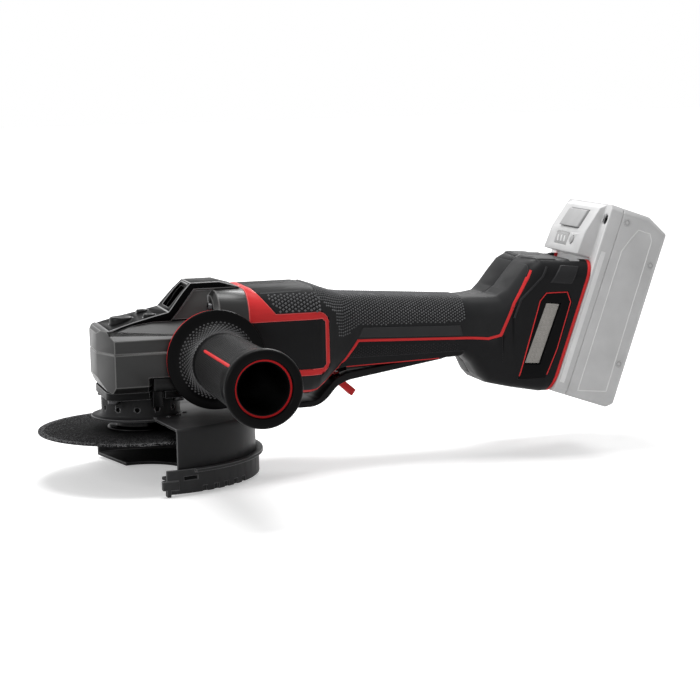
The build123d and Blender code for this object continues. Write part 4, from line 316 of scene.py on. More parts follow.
# %% Finishes of the gear head and the guard
FLANGE_FRONT = 26.5
GEAR_COLOR = (0.015, 0.015, 0.0148)
GEAR_GLOSS = {"Specular_IOR_Level": 0.35}
gear_paint = moulded("gear_paint", GEAR_COLOR, 0.36, 0.5, 0.02, 18.0, 0.9, FLANGE_FRONT, **GEAR_GLOSS)
# Paler strips for the bevels of the casting, the hood and the guard: painted highlights.
gear_painted_highlight = moulded("gear_painted_highlight", (0.13, 0.13, 0.128), 0.3, 0.5, 0.01, 1.5, **SHINY)
# The hood's grey field, paler to offset its shade: partly painted light.
boss_paint_painted_light = moulded("boss_paint_painted_light", (0.12, 0.12, 0.119), 0.4, 0.5, 0.02, 4.0, **DULL)
hood_plastic = moulded("hood_plastic", (0.003, 0.003, 0.0033), 0.3, 0.4, 0.004, 20.0, 0.5, **MATT)
hood_painted_highlight = moulded("hood_painted_highlight", (0.26, 0.26, 0.262), 0.25, 0.4, 0.004, 1.5, **SHINY)
cast_alloy = moulded("cast_alloy", (0.008, 0.008, 0.0083), 0.35, 0.6, 0.02, 10.0, **DULL)
guard_paint = moulded("guard_paint", (0.028, 0.028, 0.0288), 0.38, 0.4, 0.012, 20.0, 0.9, **DULL)
guard_painted_highlight = moulded("guard_painted_highlight", (0.10, 0.10, 0.102), 0.3, 0.4, 0.01, 1.5, **SHINY)
cover_plastic = moulded("cover_plastic", (0.042, 0.042, 0.043), 0.46, 0.4, 0.03, 5.0, **DULL)
print("finishes so far", len(bpy.data.materials))

# %% Finishes of the pack, the metal parts and the inside
pack_plastic = moulded("pack_plastic", (0.62, 0.62, 0.622), 0.42, 0.3, 0.012, 1.5, 0.8, **DULL)
pack_lid_plastic = moulded("pack_lid_plastic", (0.65, 0.65, 0.652), 0.42, 0.3, 0.012, 1.4, 0.8, **DULL)
pack_button_plastic = moulded("pack_button_plastic", (0.44, 0.44, 0.442), 0.4, 0.3, 0.012, 1.7, 0.8, **DULL)
lamp_plastic = moulded("lamp_plastic", (0.36, 0.36, 0.362), 0.25, 0.4, 0.004, 1.5)
# Near white for the lamp bars, and as a painted highlight on the pack's outline and lid strip.
pale_bars_and_painted_highlight = moulded("pale_bars_and_painted_highlight", (0.80, 0.80, 0.80), 0.3, 0.4, 0.004, 1.1)
fan_plastic = moulded("fan_plastic", (0.03, 0.03, 0.032), 0.5, 0.4, 0.02)
board_coat = moulded("board_coat", (0.02, 0.11, 0.05), 0.35, 0.5, 0.01)
terminal_plastic = moulded("terminal_plastic", (0.03, 0.03, 0.03), 0.45, 0.3, 0.02)
steel_x = turned("steel_x", (0.50, 0.50, 0.51), 0.32, 0)
steel_y = turned("steel_y", (0.50, 0.50, 0.51), 0.32, 1)
steel_z = turned("steel_z", (0.50, 0.50, 0.51), 0.32, 2)
dark_steel = turned("dark_steel", (0.055, 0.055, 0.057), 0.36, 2)
black_steel = turned("black_steel", (0.016, 0.016, 0.0163), 0.34, 2)
wire_steel = turned("wire_steel", (0.25, 0.24, 0.225), 0.45, 2)
sheet_stack = turned("sheet_stack", (0.26, 0.26, 0.28), 0.45, 0)
copper_wire = turned("copper_wire", (0.60, 0.24, 0.12), 0.35, 0)
contact_metal = turned("contact_metal", (0.70, 0.55, 0.30), 0.3, 2)
print("finishes so far", len(bpy.data.materials))

# %% [markdown]
# The wheel is grit bonded in resin over glass cloth. Its face is dark and sparkles a little: a
# cell pattern gives single grains, more of them bare near the rim where the wheel has been cut.
# The handle's core shows as a red disc at its root and a red ring in its open end. One finish,
# masked by place, does for both, because the core is one piece. The rest of the core is black; deeper
# in the open end that black is painted shade.

# %% Grit, cell wrap and the handle's core
GRAIN = 0.5
FACE_PICK = 0.8
RIM_PICK = 0.55
WORN_FROM = 58.8
HANDLE_AT = (39.4, 0, 55.4)
CORE_DISC_END = 39.5
CORE_MOUTH = 151.0
CORE_RING = 14.9


def grit():
    made = Finish("grit", (0.006, 0.006, 0.0063), 0.7, Specular_IOR_Level=0.03)
    sockets = {"Vector": made.place(), "Scale": 1 / (GRAIN * MM)}
    cells = made.node("ShaderNodeTexVoronoi", sockets=sockets, output="Color")
    pick = made.node("ShaderNodeSeparateColor", sockets={"Color": cells}, output=0)
    radius = (made.axis(0) ** 2 + made.axis(1) ** 2) ** 0.5
    bare_face = (pick > FACE_PICK) * (radius * 9 - 0.2)
    bare_rim = (pick > RIM_PICK) * (radius > WORN_FROM * MM) * 0.4
    bare = bare_face + bare_rim
    made.feed("Base Color", made.mix(bare, made.color, (0.20, 0.20, 0.205, 1.0)))
    made.feed("Roughness", 0.75 - bare * 0.35)
    made.bump(pick + made.noise(GRAIN), 0.12, 0.7)
    return made.material


def cell_wrap():
    made = Finish("cell_wrap", (0.05, 0.22, 0.32), 0.35)
    patches = made.noise(8.0)
    made.feed("Base Color", made.mix(patches, (0.045, 0.2, 0.3, 1.0), (0.06, 0.25, 0.36, 1.0)))
    made.feed("Roughness", 0.3 + patches * 0.12)
    return made.material


def core_finish():
    made = Finish("handle_core_finish", (0.004, 0.004, 0.004), 0.45, **DULL)
    along = made.axis(1)
    off_x = made.axis(0) - HANDLE_AT[0] * MM
    off_z = made.axis(2) - HANDLE_AT[2] * MM
    radius = (off_x**2 + off_z**2) ** 0.5
    # Red at the root and at the mouth; deeper in the bore the black is painted shade.
    red = (along > -CORE_DISC_END * MM) + (along < -CORE_MOUTH * MM) * (radius > CORE_RING * MM)
    grain = made.noise(0.5)
    made.feed("Base Color", made.mix(red, made.color, (0.58, 0.018, 0.022, 1.0)))
    made.feed("Roughness", 0.4 + (grain - 0.5) * 0.1)
    made.bump(grain, 0.01, 0.4)
    return made.material


grit_finish = grit()
wrap_finish = cell_wrap()
core_red_and_painted_shade = core_finish()
print("finishes", len(bpy.data.materials))

# %% [markdown]
# ## Which finish each packed node takes
# Every node that stays in view keeps its packed shape, so a table of names is enough. A copy that
# is made later takes the finish of its node.

# %% Finishes for the packed nodes
FINISH_OF = {
    shell_plastic: ["housing_left", "housing_right", "paddle_switch"],
    filter_plastic: ["filter_frame_left", "filter_frame_right", "filter_mesh_left", "filter_mesh_right"],
    soft_rubber: ["grip_overmold_left", "grip_overmold_right"],
    red_plastic: [
        "trim_frame_left", "trim_frame_right", "grip_stripe_left", "grip_stripe_right",
        "battery_rim", "lock_off_lever",
    ],
    core_red_and_painted_shade: ["handle_core"],
    panel_plastic: ["side_panel_left", "side_panel_right"],
    gear_paint: ["gear_housing"],
    hood_plastic: ["gear_shroud"],
    cast_alloy: ["bearing_cover"],
    dark_steel: ["housing_screws", "gear_head_screws", "battery_screws"],
    black_steel: ["shroud_screws", "guard_lever", "inner_flange", "spindle_lock_button"],
    steel_z: [
        "spindle", "bevel_gear", "outer_flange_nut", "spindle_upper_bearing", "spindle_lower_bearing",
        "spindle_lock_pin", "spindle_lock_spring",
    ],
    steel_x: ["drive_pinion", "rotor_shaft", "front_bearing", "rear_bearing"],
    steel_y: ["handle_bolt", "paddle_pin"],
    sheet_stack: ["stator_core", "rotor_core"],
    copper_wire: ["stator_windings"],
    fan_plastic: ["cooling_fan", "switch_module", "switch_plunger"],
    grit_finish: ["cutting_disc"],
    guard_paint: ["wheel_guard"],
    cover_plastic: ["guard_clip_cover"],
    handle_rubber: ["handle_grip"],
    board_coat: ["controller_board"],
    terminal_plastic: ["terminal_block"],
    pack_plastic: ["battery_case"],
    pack_lid_plastic: ["battery_lid"],
    pack_button_plastic: ["battery_release_button", "charge_button"],
    lamp_plastic: ["charge_indicator"],
    wrap_finish: ["battery_cells"],
    contact_metal: ["battery_contacts"],
}
finish_of_node = {name: finish for finish, names in FINISH_OF.items() for name in names}
for name, node in nodes.items():
    node.data.materials.clear()
    node.data.materials.append(finish_of_node[name])
print("nodes with a finish", len(finish_of_node))

# %% [markdown]
# ## Tools for shapes
# Three ways of making a surface are used below. The first copies a packed piece, joins its points
# and rounds its edges. A subdivision surface would round it too, but it would also pull in the flat
# faces. A bevel leaves them, and its strip may be painted paler where an edge would catch the light:
# a painted highlight.

# %% Copies with rounded edges
BODY_OF = {name: body for body, names in frame["record"]["behaviour"]["bodies"].items() for name in names}
SAME_POINT = 0.002
SAME_PLANE = 0.3


def show(name, shape, finish, body):
    """Put a finished bmesh into the scene, riding on a body."""
    bmesh.ops.recalc_face_normals(shape, faces=shape.faces[:])
    mesh = bpy.data.meshes.new(name)
    shape.to_mesh(mesh)
    shape.free()
    mesh.materials.append(finish)
    made = bpy.data.objects.new(name, mesh)
    bpy.context.scene.collection.objects.link(made)
    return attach(made, body)


def joined(node, flatten=True):
    """A packed node as a bmesh with its doubled points joined and its flat faces made whole."""
    shape = bmesh.new()
    shape.from_mesh(nodes[node].data)
    bmesh.ops.remove_doubles(shape, verts=shape.verts[:], dist=SAME_POINT * MM)
    if flatten:
        limit = math.radians(SAME_PLANE)
        bmesh.ops.dissolve_limit(shape, angle_limit=limit, verts=shape.verts[:], edges=shape.edges[:])
    return shape


def refined(node, width_mm, segments=2, angle=30, shape=None, flatten=True, field=None, edge=None):
    """A copy of a packed node with rounded edges, shown in its place.

    Set-back fields may have a finish of their own, and the rounded edges a paler one: a painted highlight.
    """
    shape = shape or joined(node, flatten)
    for face in shape.faces:
        face.smooth = True
    made = show(node + "_fine", shape, finish_of_node[node], BODY_OF[node])
    rounded = made.modifiers.new("rounded", "BEVEL")
    rounded.width = width_mm * MM
    rounded.segments = segments
    rounded.limit_method = "ANGLE"
    rounded.angle_limit = math.radians(angle)
    rounded.harden_normals = True
    rounded.use_clamp_overlap = False
    for finish in (field, edge):
        if finish:
            made.data.materials.append(finish)
    if edge:
        rounded.material = len(made.data.materials) - 1
    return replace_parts(made, node)


# %% Cuts and single rounds
def cut_edges(shape, chosen, width_mm, segments=3):
    """Round only the edges that the test picks."""
    picked = [edge for edge in shape.edges if chosen(edge)]
    bmesh.ops.bevel(
        shape, geom=picked, offset=width_mm * MM, offset_type="OFFSET", segments=segments, profile=0.5,
        affect="EDGES", clamp_overlap=True,
    )
    return len(picked)


def sliced(shape, faces, place, way, clear=False):
    """Slice faces with a plane through a place in mm. What lies beyond it can be cut off."""
    points = dict.fromkeys(point for face in faces for point in face.verts)
    sides = dict.fromkeys(side for face in faces for side in face.edges)
    cut = bmesh.ops.bisect_plane(
        shape, geom=[*points, *sides, *faces], dist=0.001 * MM, plane_co=Vector(place) * MM, plane_no=way,
        clear_outer=clear,
    )
    if clear:
        rim = [part for part in cut["geom_cut"] if isinstance(part, bmesh.types.BMEdge)]
        bmesh.ops.holes_fill(shape, edges=rim, sides=0)


print("tools for edges", cut_edges.__name__, sliced.__name__)

# %% [markdown]
# The second way is for pieces that are round about one axis, such as a button or a grip. A packed
# one has flat facets. A profile swept round the axis in many steps is smoother.

# %% Turned pieces
TURNED_CREASE = math.radians(38)


def lathe(name, profile, origin, axis, finish, body, steps=96):
    """Sweep a closed profile of (radius, way along) in mm round an axis through a point in mm."""
    axis = Vector(axis).normalized()
    side = axis.orthogonal().normalized()
    other = axis.cross(side)
    shape = bmesh.new()
    rings = []
    for step in range(steps):
        angle = 2 * math.pi * step / steps
        out = side * math.cos(angle) + other * math.sin(angle)
        rings.append([shape.verts.new((Vector(origin) + axis * d + out * r) * MM) for r, d in profile])
    for near, far in zip(rings, rings[1:] + rings[:1]):
        for row in range(len(profile)):
            after = (row + 1) % len(profile)
            shape.faces.new((near[row], far[row], far[after], near[after]))
    bmesh.ops.remove_doubles(shape, verts=shape.verts[:], dist=SAME_POINT * MM)
    for face in shape.faces:
        face.smooth = True
    made = show(name, shape, finish, body)
    made.data.set_sharp_from_angle(angle=TURNED_CREASE)
    return made


print("turned pieces crease past", round(math.degrees(TURNED_CREASE)), "degrees")

# %% [markdown]
# The third way is for what lies on a curved skin: studs, plates and lines. They could be drawn into
# the shading, but then the outline would stay smooth. Their places are found with rays sent at the
# packed surface, so that each follows it and sits tight on it.

# %% Finding the surface
GIRTH_STEPS = 360
GIRTH_START = 90.0
RAY_START = 120.0


def tree_of(*names):
    """A search tree over packed nodes, for finding their surface with rays."""
    shape = bmesh.new()
    for name in names:
        shape.from_mesh(nodes[name].data)
    found = BVHTree.FromBMesh(shape)
    shape.free()
    return found


def both_hands(*pieces):
    """The left and the right node of each piece."""
    return [f"{piece}_{hand}" for piece in pieces for hand in ("left", "right")]


def cast(tree, place, toward, lift_mm=0.0):
    """Where the ray through a place in mm meets a surface, lifted along the surface's normal."""
    toward = Vector(toward)
    point, normal = tree.ray_cast((Vector(place) - toward * RAY_START) * MM, toward)[:2]
    return point + normal * lift_mm * MM


def side_view(points):
    """Places in mm from (x, height over the motor axis)."""
    return [(x, 0, MOTOR_Z + z) for x, z in points]


def inside(outline, x, z):
    """Whether a point lies in an outline of the side view."""
    odd = False
    for (ax, az), (bx, bz) in zip(outline, outline[1:] + outline[:1]):
        if (az > z) != (bz > z) and x < ax + (bx - ax) * (z - az) / (bz - az):
            odd = not odd
    return odd


def girth(tree, x, middle, first, last, pitch, shift):
    """Places at equal steps over the surface at one station, from one angle to another; 0 is up."""
    places, run, before = [], -shift, None
    for step in range(GIRTH_STEPS + 1):
        angle = math.radians(first + (last - first) * step / GIRTH_STEPS)
        out = Vector((0, -math.sin(angle), math.cos(angle)))
        start = (Vector((x, 0, middle)) + out * GIRTH_START) * MM
        point, normal = tree.ray_cast(start, -out)[:2]
        if point is None:
            before = None
            continue
        run += (point - before).length / MM if before else 0
        before = point
        if run >= 0:
            places.append((point, normal, Vector((1, 0, 0))))
            run -= pitch
    return places


soft_tree = tree_of(*both_hands("grip_overmold"))
shell_tree = tree_of(*both_hands("housing"))
print("grip meets a ray at", [round(v / MM, 1) for v in cast(soft_tree, (150, 0, MOTOR_Z), (0, 1, 0))])


# %% Studs
def diamond(reach):
    """Corners of a diamond, as (along, across) in mm."""
    return [(reach, 0), (0, reach), (-reach, 0), (0, -reach)]


def oblong(along, across):
    """Corners of an oblong from its half sizes, as (along, across) in mm."""
    return [(-along, -across), (along, -across), (along, across), (-along, across)]


def studs(name, places, foot, top, height_mm, finish, body, sink_mm=0.12):
    """Small solids with sloped sides. A place is a point, its normal and a way along the surface."""
    shape = bmesh.new()
    for point, normal, along in places:
        across = normal.cross(along).normalized()
        ahead = across.cross(normal)
        rings = []
        for outline, height in ((foot, -sink_mm), (top, height_mm)):
            ways = [ahead * a + across * b + normal * height for a, b in outline]
            rings.append([shape.verts.new(point + way * MM) for way in ways])
        low, high = rings
        for corner in range(len(low)):
            after = (corner + 1) % len(low)
            shape.faces.new((low[corner], low[after], high[after], high[corner]))
        shape.faces.new(high)
    return show(name, shape, finish, body)


print("foot of a stud", diamond(0.8))

# %% Plates
PLATE_SINK = 0.05
PLATE_CREASE = math.radians(25)


def plate(name, tree, corners, toward, lift_mm, finish, body, cells, rim):
    """A thin raised plate on a surface, between four places in mm. Its rim slopes down to the skin."""
    shape = bmesh.new()
    first, second, third, fourth = (Vector(corner) for corner in corners)
    ways = [[0.0, rim] + [i / count for i in range(1, count)] + [1 - rim, 1.0] for count in cells]
    grid = []
    for u in ways[0]:
        row = []
        for v in ways[1]:
            place = first.lerp(second, u).lerp(fourth.lerp(third, u), v)
            at_edge = u in (0.0, 1.0) or v in (0.0, 1.0)
            row.append(shape.verts.new(cast(tree, place, toward, -PLATE_SINK if at_edge else lift_mm)))
        grid.append(row)
    for near, far in zip(grid, grid[1:]):
        for v in range(len(near) - 1):
            shape.faces.new((near[v], far[v], far[v + 1], near[v + 1])).smooth = True
    made = show(name, shape, finish, body)
    made.data.set_sharp_from_angle(angle=PLATE_CREASE)
    return made


print("plates reach", PLATE_SINK, "mm into the skin")

# %% Lines
LINE_STEP = 1.5
LINE_SINK = 0.1


def line(name, tree, path, toward, width_mm, lift_mm, finish, body, closed=False):
    """A thin raised line on a surface, along places in mm."""
    path = [Vector(place) for place in path]
    ends = path[1:] + path[:1] if closed else path[1:]
    places = []
    for start, end in zip(path, ends):
        count = max(1, round((end - start).length / LINE_STEP))
        places += [start.lerp(end, i / count) for i in range(count)]
    if not closed:
        places.append(path[-1])
    section = [(-0.5, -LINE_SINK), (-0.25, lift_mm), (0.25, lift_mm), (0.5, -LINE_SINK)]
    shape = bmesh.new()
    rows = []
    for i, place in enumerate(places):
        before = places[i - 1] if closed or i else place
        after = places[(i + 1) % len(places)] if closed or i + 1 < len(places) else place
        across = Vector(toward).cross(after - before).normalized() * width_mm
        spots = [cast(tree, place + across * offset, toward, lift) for offset, lift in section]
        rows.append([shape.verts.new(spot) for spot in spots])
    for near, far in zip(rows, rows[1:] + rows[:1] if closed else rows[1:]):
        for v in range(len(section) - 1):
            shape.faces.new((near[v], far[v], far[v + 1], near[v + 1]))
    return show(name, shape, finish, body)


print("lines reach", LINE_SINK, "mm into the skin, in steps of", LINE_STEP, "mm")

# %% [markdown]
# ## Body skins and shells
# The red frame, the side fields, the soft skin, the stripe and the two shells are moulded pieces
# that meet in fine joints. The packed skins meet flush. Each gets a copy with slightly rounded
# edges, so that a dark joint shows between them, as it does on a moulded tool. The frame's rear
# corners are round on the real tool, so both ends of each slanted packed corner are sliced off.

# %% Skins and shells
SKIN_ROUND = 0.3
SKIN_ANGLE = 35
FRAME_ROUND = 0.45
FRAME_CORNERS = [(112.2, 14.7, 22.5), (107.2, 19.7, 67.5), (112.2, -14.0, -22.5), (107.2, -19.0, -67.5)]
CORNER_CUT = 0.7
FRAME_BACK = 100.0


def rounded_frame(node):
    """The red frame with rounder rear corners. A corner is (x, height over the axis, way it faces)."""
    shape = joined(node, False)
    for x, z, degrees in FRAME_CORNERS:
        out = Vector((math.cos(math.radians(degrees)), 0, math.sin(math.radians(degrees))))
        place = Vector((x, 0, MOTOR_Z + z)) - out * CORNER_CUT
        faces = [face for face in shape.faces if max(p.co.x for p in face.verts) > FRAME_BACK * MM]
        sliced(shape, faces, place, out, clear=True)
    return shape


for node in both_hands("side_panel", "grip_overmold", "grip_stripe", "housing", "filter_frame"):
    refined(node, SKIN_ROUND, 2, SKIN_ANGLE, flatten=False)
for node in both_hands("trim_frame"):
    # The frame's bevel strip takes a painted highlight.
    refined(node, FRAME_ROUND, 2, SKIN_ANGLE, rounded_frame(node), edge=red_painted_highlight)
refined("battery_rim", SKIN_ROUND, 2, SKIN_ANGLE, flatten=False)
print("skins and shells rounded by", SKIN_ROUND, "mm, red frames by", FRAME_ROUND, "mm")

# %% [markdown]
# ## Knurl of the soft grip
# The soft skin carries small diamond studs: coarse ones on the flank of the motor barrel and a
# fine field round the grip. A flatter field lies on the shell under the stripe. Every stud is a
# small solid, set in rows over the skin, so the knurl also shows in the outline.

# %% Knurl
GRIP_FIELD = [
    (105, 60), (105, 27), (112, 21.5), (116.5, 18.5), (119.5, 3), (123.5, 1.8), (126, 2.8),
    (131.5, 8.4), (201, 6.8), (203, 11), (203, 60),
]
BARREL_FIELD = [(73, 30.6), (80.6, 20.4), (108.5, 19.4), (105, 31.2), (99, 31.2), (88, 30.8)]
LOWER_FIELD = [(127, -12.6), (133, -4.2), (200, -6.4), (200, -12.6)]
FINE_PITCH = 1.9
COARSE_PITCH = 2.5
PITCH_PER_ROW = 1.3
GIRTH_MIDDLE = MOTOR_Z + 4


def knurl_field(tree, outline, pitch, first, last):
    """Rows of places in an outline of the side view, each row half a step from the last."""
    start = min(x for x, z in outline)
    end = max(x for x, z in outline)
    places = []
    for row in range(int((end - start) / pitch * PITCH_PER_ROW)):
        x = start + row * pitch / PITCH_PER_ROW
        shift = (row % 2 + 0.5) * pitch / 2
        for sign in (1, -1):
            found = girth(tree, x, GIRTH_MIDDLE, sign * first, sign * last, pitch, shift)
            places += [p for p in found if inside(outline, x, p[0].z / MM - MOTOR_Z)]
    return places


fine_places = knurl_field(soft_tree, GRIP_FIELD, FINE_PITCH, 0, 110)
coarse_places = knurl_field(soft_tree, BARREL_FIELD, COARSE_PITCH, 30, 90)
lower_places = knurl_field(shell_tree, LOWER_FIELD, FINE_PITCH, 80, 150)
# The grip studs take a painted highlight.
studs("knurl_fine", fine_places, diamond(0.8), diamond(0.3), 0.5, stud_rubber_painted_highlight, "tool")
studs("knurl_coarse", coarse_places, diamond(1.05), diamond(0.45), 0.6, stud_rubber_painted_highlight, "tool")
studs("knurl_lower", lower_places, diamond(0.75), diamond(0.3), 0.25, shell_plastic, "tool")
print("studs", len(fine_places), len(coarse_places), len(lower_places))

# %% [markdown]
# ## Plates and lines on the body
# A smooth band runs above the stripe on each side, and the foot has flat facets and a crease. They
# could be cut into the shells, but they are less than a millimetre high, so low plates and strips
# are enough. The facets and the crease are painted paler than the shell: painted light. A thin red
# line frames the intake filter, and the stripe ends in a narrow red tip.

# %% Plates and lines
GRIP_BAND = side_view([(132.5, 0.9), (200.5, -1.7), (199.0, 4.6), (135.5, 6.8)])
PAD_EDGE = side_view([(70.0, 31.6), (95.5, 31.9)])
FOOT_FACET = side_view([(252.7, 29.9), (267.3, 28.3), (273.2, 39.0), (261.0, 40.4)])
FOOT_CREASE = side_view([(251.6, 39.8), (247.8, 33.8), (242.7, 29.1), (233.6, 20.6), (229.0, 9.0)])
STRIPE_TIP = side_view([(237.5, 31.2), (241.6, 37.9)])
FILTER_LINE = side_view(
    [
        (232.0, -27.5), (246.2, 19.0), (250.4, 23.6), (264.2, 23.6), (266.4, 17.2), (257.0, -12.0),
        (250.0, -27.5),
    ]
)
TOP_FACET = [(244.8, 4.0), (263.0, 4.0), (260.0, 29.5), (247.0, 29.5)]
TOWARD = {"left": (0, 1, 0), "right": (0, -1, 0)}
DOWN = (0, 0, -1)
filter_tree = tree_of(*both_hands("housing", "grip_overmold", "filter_frame"))
tip_tree = tree_of(*both_hands("housing", "grip_overmold", "grip_stripe"))
for hand, toward in TOWARD.items():
    plate(f"grip_band_{hand}", soft_tree, GRIP_BAND, toward, 0.5, smooth_rubber, "tool", (40, 4), 0.012)
    # Foot facets, crease and top facets take painted light.
    plate(f"foot_facet_{hand}", shell_tree, FOOT_FACET, toward, 0.6, facet_plastic_painted_light, "tool", (8, 8), 0.06)
    line(f"foot_crease_{hand}", shell_tree, FOOT_CREASE, toward, 1.6, 0.35, facet_plastic_painted_light, "tool")
    line(f"stripe_tip_{hand}", tip_tree, STRIPE_TIP, toward, 1.5, 0.2, red_plastic, "tool")
    line(f"pad_edge_{hand}", soft_tree, PAD_EDGE, toward, 1.2, 0.3, smooth_rubber, "tool")
    line(f"filter_line_{hand}", filter_tree, FILTER_LINE, toward, 0.8, 0.15, red_plastic, "tool")
    top_facet = [(x, -toward[1] * y, 0) for x, y in TOP_FACET]
    plate(f"top_facet_{hand}", shell_tree, top_facet, DOWN, 0.5, facet_plastic_painted_light, "tool", (8, 8), 0.05)
print("plates and lines on each side", 7)

# %% [markdown]
# ## Lips of the paddle's channel
# The shell reaches down on both sides of the paddle, so that no light shows between them. Each lip
# is a short wall outside the paddle's path with a thin red edge. A box would not follow the shell's
# lower line, so each is drawn through a row of sections.

# %% Channel lips
LIP_LINE = [(121.0, -18.0), (126.0, -17.1), (150.0, -16.5), (186.0, -15.6), (199.0, -15.2), (202.0, -13.6)]
LIP_INNER = 15.5
LIP_OUTER = 17.7
LIP_ROOT = 47.2
LIP_SHOULDER = (19.0, 48.2)
EDGE_HEIGHT = 0.5
EDGE_PROUD = 0.1


def bar_of_sections(name, sections, finish, body):
    """A closed bar through sections of four places in mm."""
    shape = bmesh.new()
    rows = [[shape.verts.new(Vector(place) * MM) for place in section] for section in sections]
    for near, far in zip(rows, rows[1:]):
        for corner in range(4):
            after = (corner + 1) % 4
            shape.faces.new((near[corner], far[corner], far[after], near[after]))
    shape.faces.new(rows[0])
    shape.faces.new(rows[-1])
    return show(name, shape, finish, body)


for hand, toward in TOWARD.items():
    side = -toward[1]
    inner, outer = side * LIP_INNER, side * LIP_OUTER
    proud = outer + side * EDGE_PROUD
    shoulder, shoulder_z = side * LIP_SHOULDER[0], LIP_SHOULDER[1]
    walls, edges = [], []
    for x, bottom in LIP_LINE:
        low = MOTOR_Z + bottom
        foot = low - EDGE_HEIGHT
        walls.append([(x, inner, LIP_ROOT), (x, shoulder, shoulder_z), (x, outer, low), (x, inner, low)])
        edges.append([(x, inner, low), (x, proud, low), (x, outer, foot), (x, inner, foot)])
    bar_of_sections(f"channel_lip_{hand}", walls, shell_plastic, "tool")
    bar_of_sections(f"channel_edge_{hand}", edges[1:4], red_plastic, "tool")
print("sections in a lip", len(LIP_LINE))

# %% [markdown]
# ## Intake filter
# Behind the frame lies a woven wire cloth. A flat sheet with a pattern would do from afar, but a
# low side view shows the weave, so the wires are modelled: two sets that pass over and under.

# %% Woven cloth
CLOTH = [(250.7, 17.2), (259.2, 16.2), (245.3, -20.0), (236.0, -19.4)]
CLOTH_FACE = 35.75
WIRES_ACROSS = 46
WIRES_ALONG = 13
WEAVE_DEPTH = 0.12
WIRE_CROWN = 0.14
UPRIGHT_HALF = (0.3, 0.0)
LEVEL_HALF = (0.08, 0.3)


def cloth_point(u, v):
    """A place of the cloth in the side view: u goes across it and v goes down."""
    (ax, az), (bx, bz), (cx, cz), (dx, dz) = CLOTH
    x = (ax + (bx - ax) * u) * (1 - v) + (dx + (cx - dx) * u) * v
    z = (az + (bz - az) * u) * (1 - v) + (dz + (cz - dz) * u) * v
    return x, MOTOR_Z + z


def woven(name, side):
    """Wires as low ridges of three points across. At each crossing one set stands out, the other in."""
    shape = bmesh.new()
    both_sets = ((WIRES_ALONG, WIRES_ACROSS, True), (WIRES_ACROSS, WIRES_ALONG, False))
    for count, crossings, is_upright in both_sets:
        half_x, half_z = UPRIGHT_HALF if is_upright else LEVEL_HALF
        for wire in range(count):
            fixed = (wire + 0.5) / count
            rows = []
            for step in range(2 * crossings + 1):
                way = step / (2 * crossings)
                x, z = cloth_point(fixed, way) if is_upright else cloth_point(way, fixed)
                wave = WEAVE_DEPTH if step % 2 else 0.0
                stands_out = ((wire + step // 2) % 2 == 1) == is_upright
                y = side * (CLOTH_FACE + (wave if stands_out else -wave))
                crown = y + side * WIRE_CROWN
                row = [(x - half_x, y, z - half_z), (x, crown, z), (x + half_x, y, z + half_z)]
                rows.append([shape.verts.new(Vector(place) * MM) for place in row])
            for near, far in zip(rows, rows[1:]):
                for v in range(2):
                    shape.faces.new((near[v], far[v], far[v + 1], near[v + 1])).smooth = True
    return show(name, shape, wire_steel, "tool")


woven("filter_cloth_left", -1)
woven("filter_cloth_right", 1)
print("wires", 2 * (WIRES_ACROSS + WIRES_ALONG))

# %% [markdown]
# ## Gear head
# The casting is faceted, with crisp but rounded edges that catch the light, and a fine joint runs
# round it at half height. The strips on the rounded edges of the casting and the hood are painted
# paler: painted highlights. The joint is cut by slicing the copy three times and drawing the middle
# ring inwards. The hood over it is a black moulding: an upright bar stands out on each flank, and
# the grey casting shows behind it. The field behind the bar is sliced out and set back. Its grey is
# the casting's, made paler to offset the shade it lies in: partly painted light.

# %% Joint of the casting and flanks of the hood
JOINT_Z = 60.4
JOINT_HALF = 0.4
JOINT_DEPTH = 0.6
HEAD_BORE = 26.0
HEAD_FLANGE = 27.0
HEAD_SIDE = 32.9
NOSE_RADIUS = 60.0
BAR_FOOT = Vector((22.7, 0, 83.7))
BAR_ACROSS = Vector((9.9, 0, -8.4)).normalized()
BAR_TOP = 95.0
HOOD_HALF = 12.0
HOOD_BACK = 50.0
FIELD_WALL = 0.2
FIELD_DEPTH = 1.8


def jointed_housing():
    """The casting with a fine groove at its joint, outside its bore and in front of its flange."""
    shape = joined("gear_housing")
    for height in (JOINT_Z - JOINT_HALF, JOINT_Z, JOINT_Z + JOINT_HALF):
        sliced(shape, shape.faces[:], (0, 0, height), (0, 0, 1))
    for point in shape.verts:
        x, y, z = point.co / MM
        if abs(z - JOINT_Z) < 0.01 and math.hypot(x, y) > HEAD_BORE and x < HEAD_FLANGE:
            on_side = abs(y) > HEAD_SIDE
            inward = (0, -math.copysign(1, y), 0) if on_side else (1, -y / NOSE_RADIUS, 0)
            point.co += Vector(inward) * JOINT_DEPTH * MM
    return shape


def framed_hood():
    """The hood with the fields behind its two upright bars set back, so that the bars stand out."""
    shape = joined("gear_shroud")
    for place, across in ((BAR_FOOT, BAR_ACROSS), ((0, 0, BAR_TOP), (0, 0, 1))):
        upright_faces = [face for face in shape.faces if abs(face.normal.y) > 0.9]
        flanks = [face for face in upright_faces if face.calc_center_median().x > 0]
        sliced(shape, flanks, place, across)
    fields = []
    for face in shape.faces:
        middle = face.calc_center_median() / MM
        behind = (middle - BAR_FOOT).dot(BAR_ACROSS) > 0 and middle.z < BAR_TOP
        if behind and face.normal.y * middle.y > HOOD_HALF and middle.x < HOOD_BACK:
            fields.append(face)
    bmesh.ops.inset_region(
        shape, faces=fields, thickness=FIELD_WALL * MM, depth=-FIELD_DEPTH * MM, use_even_offset=True,
        use_boundary=True,
    )
    for face in fields:
        face.material_index = 1
    return shape


print("joint at", JOINT_Z, "mm, bars of the hood up to", BAR_TOP, "mm")

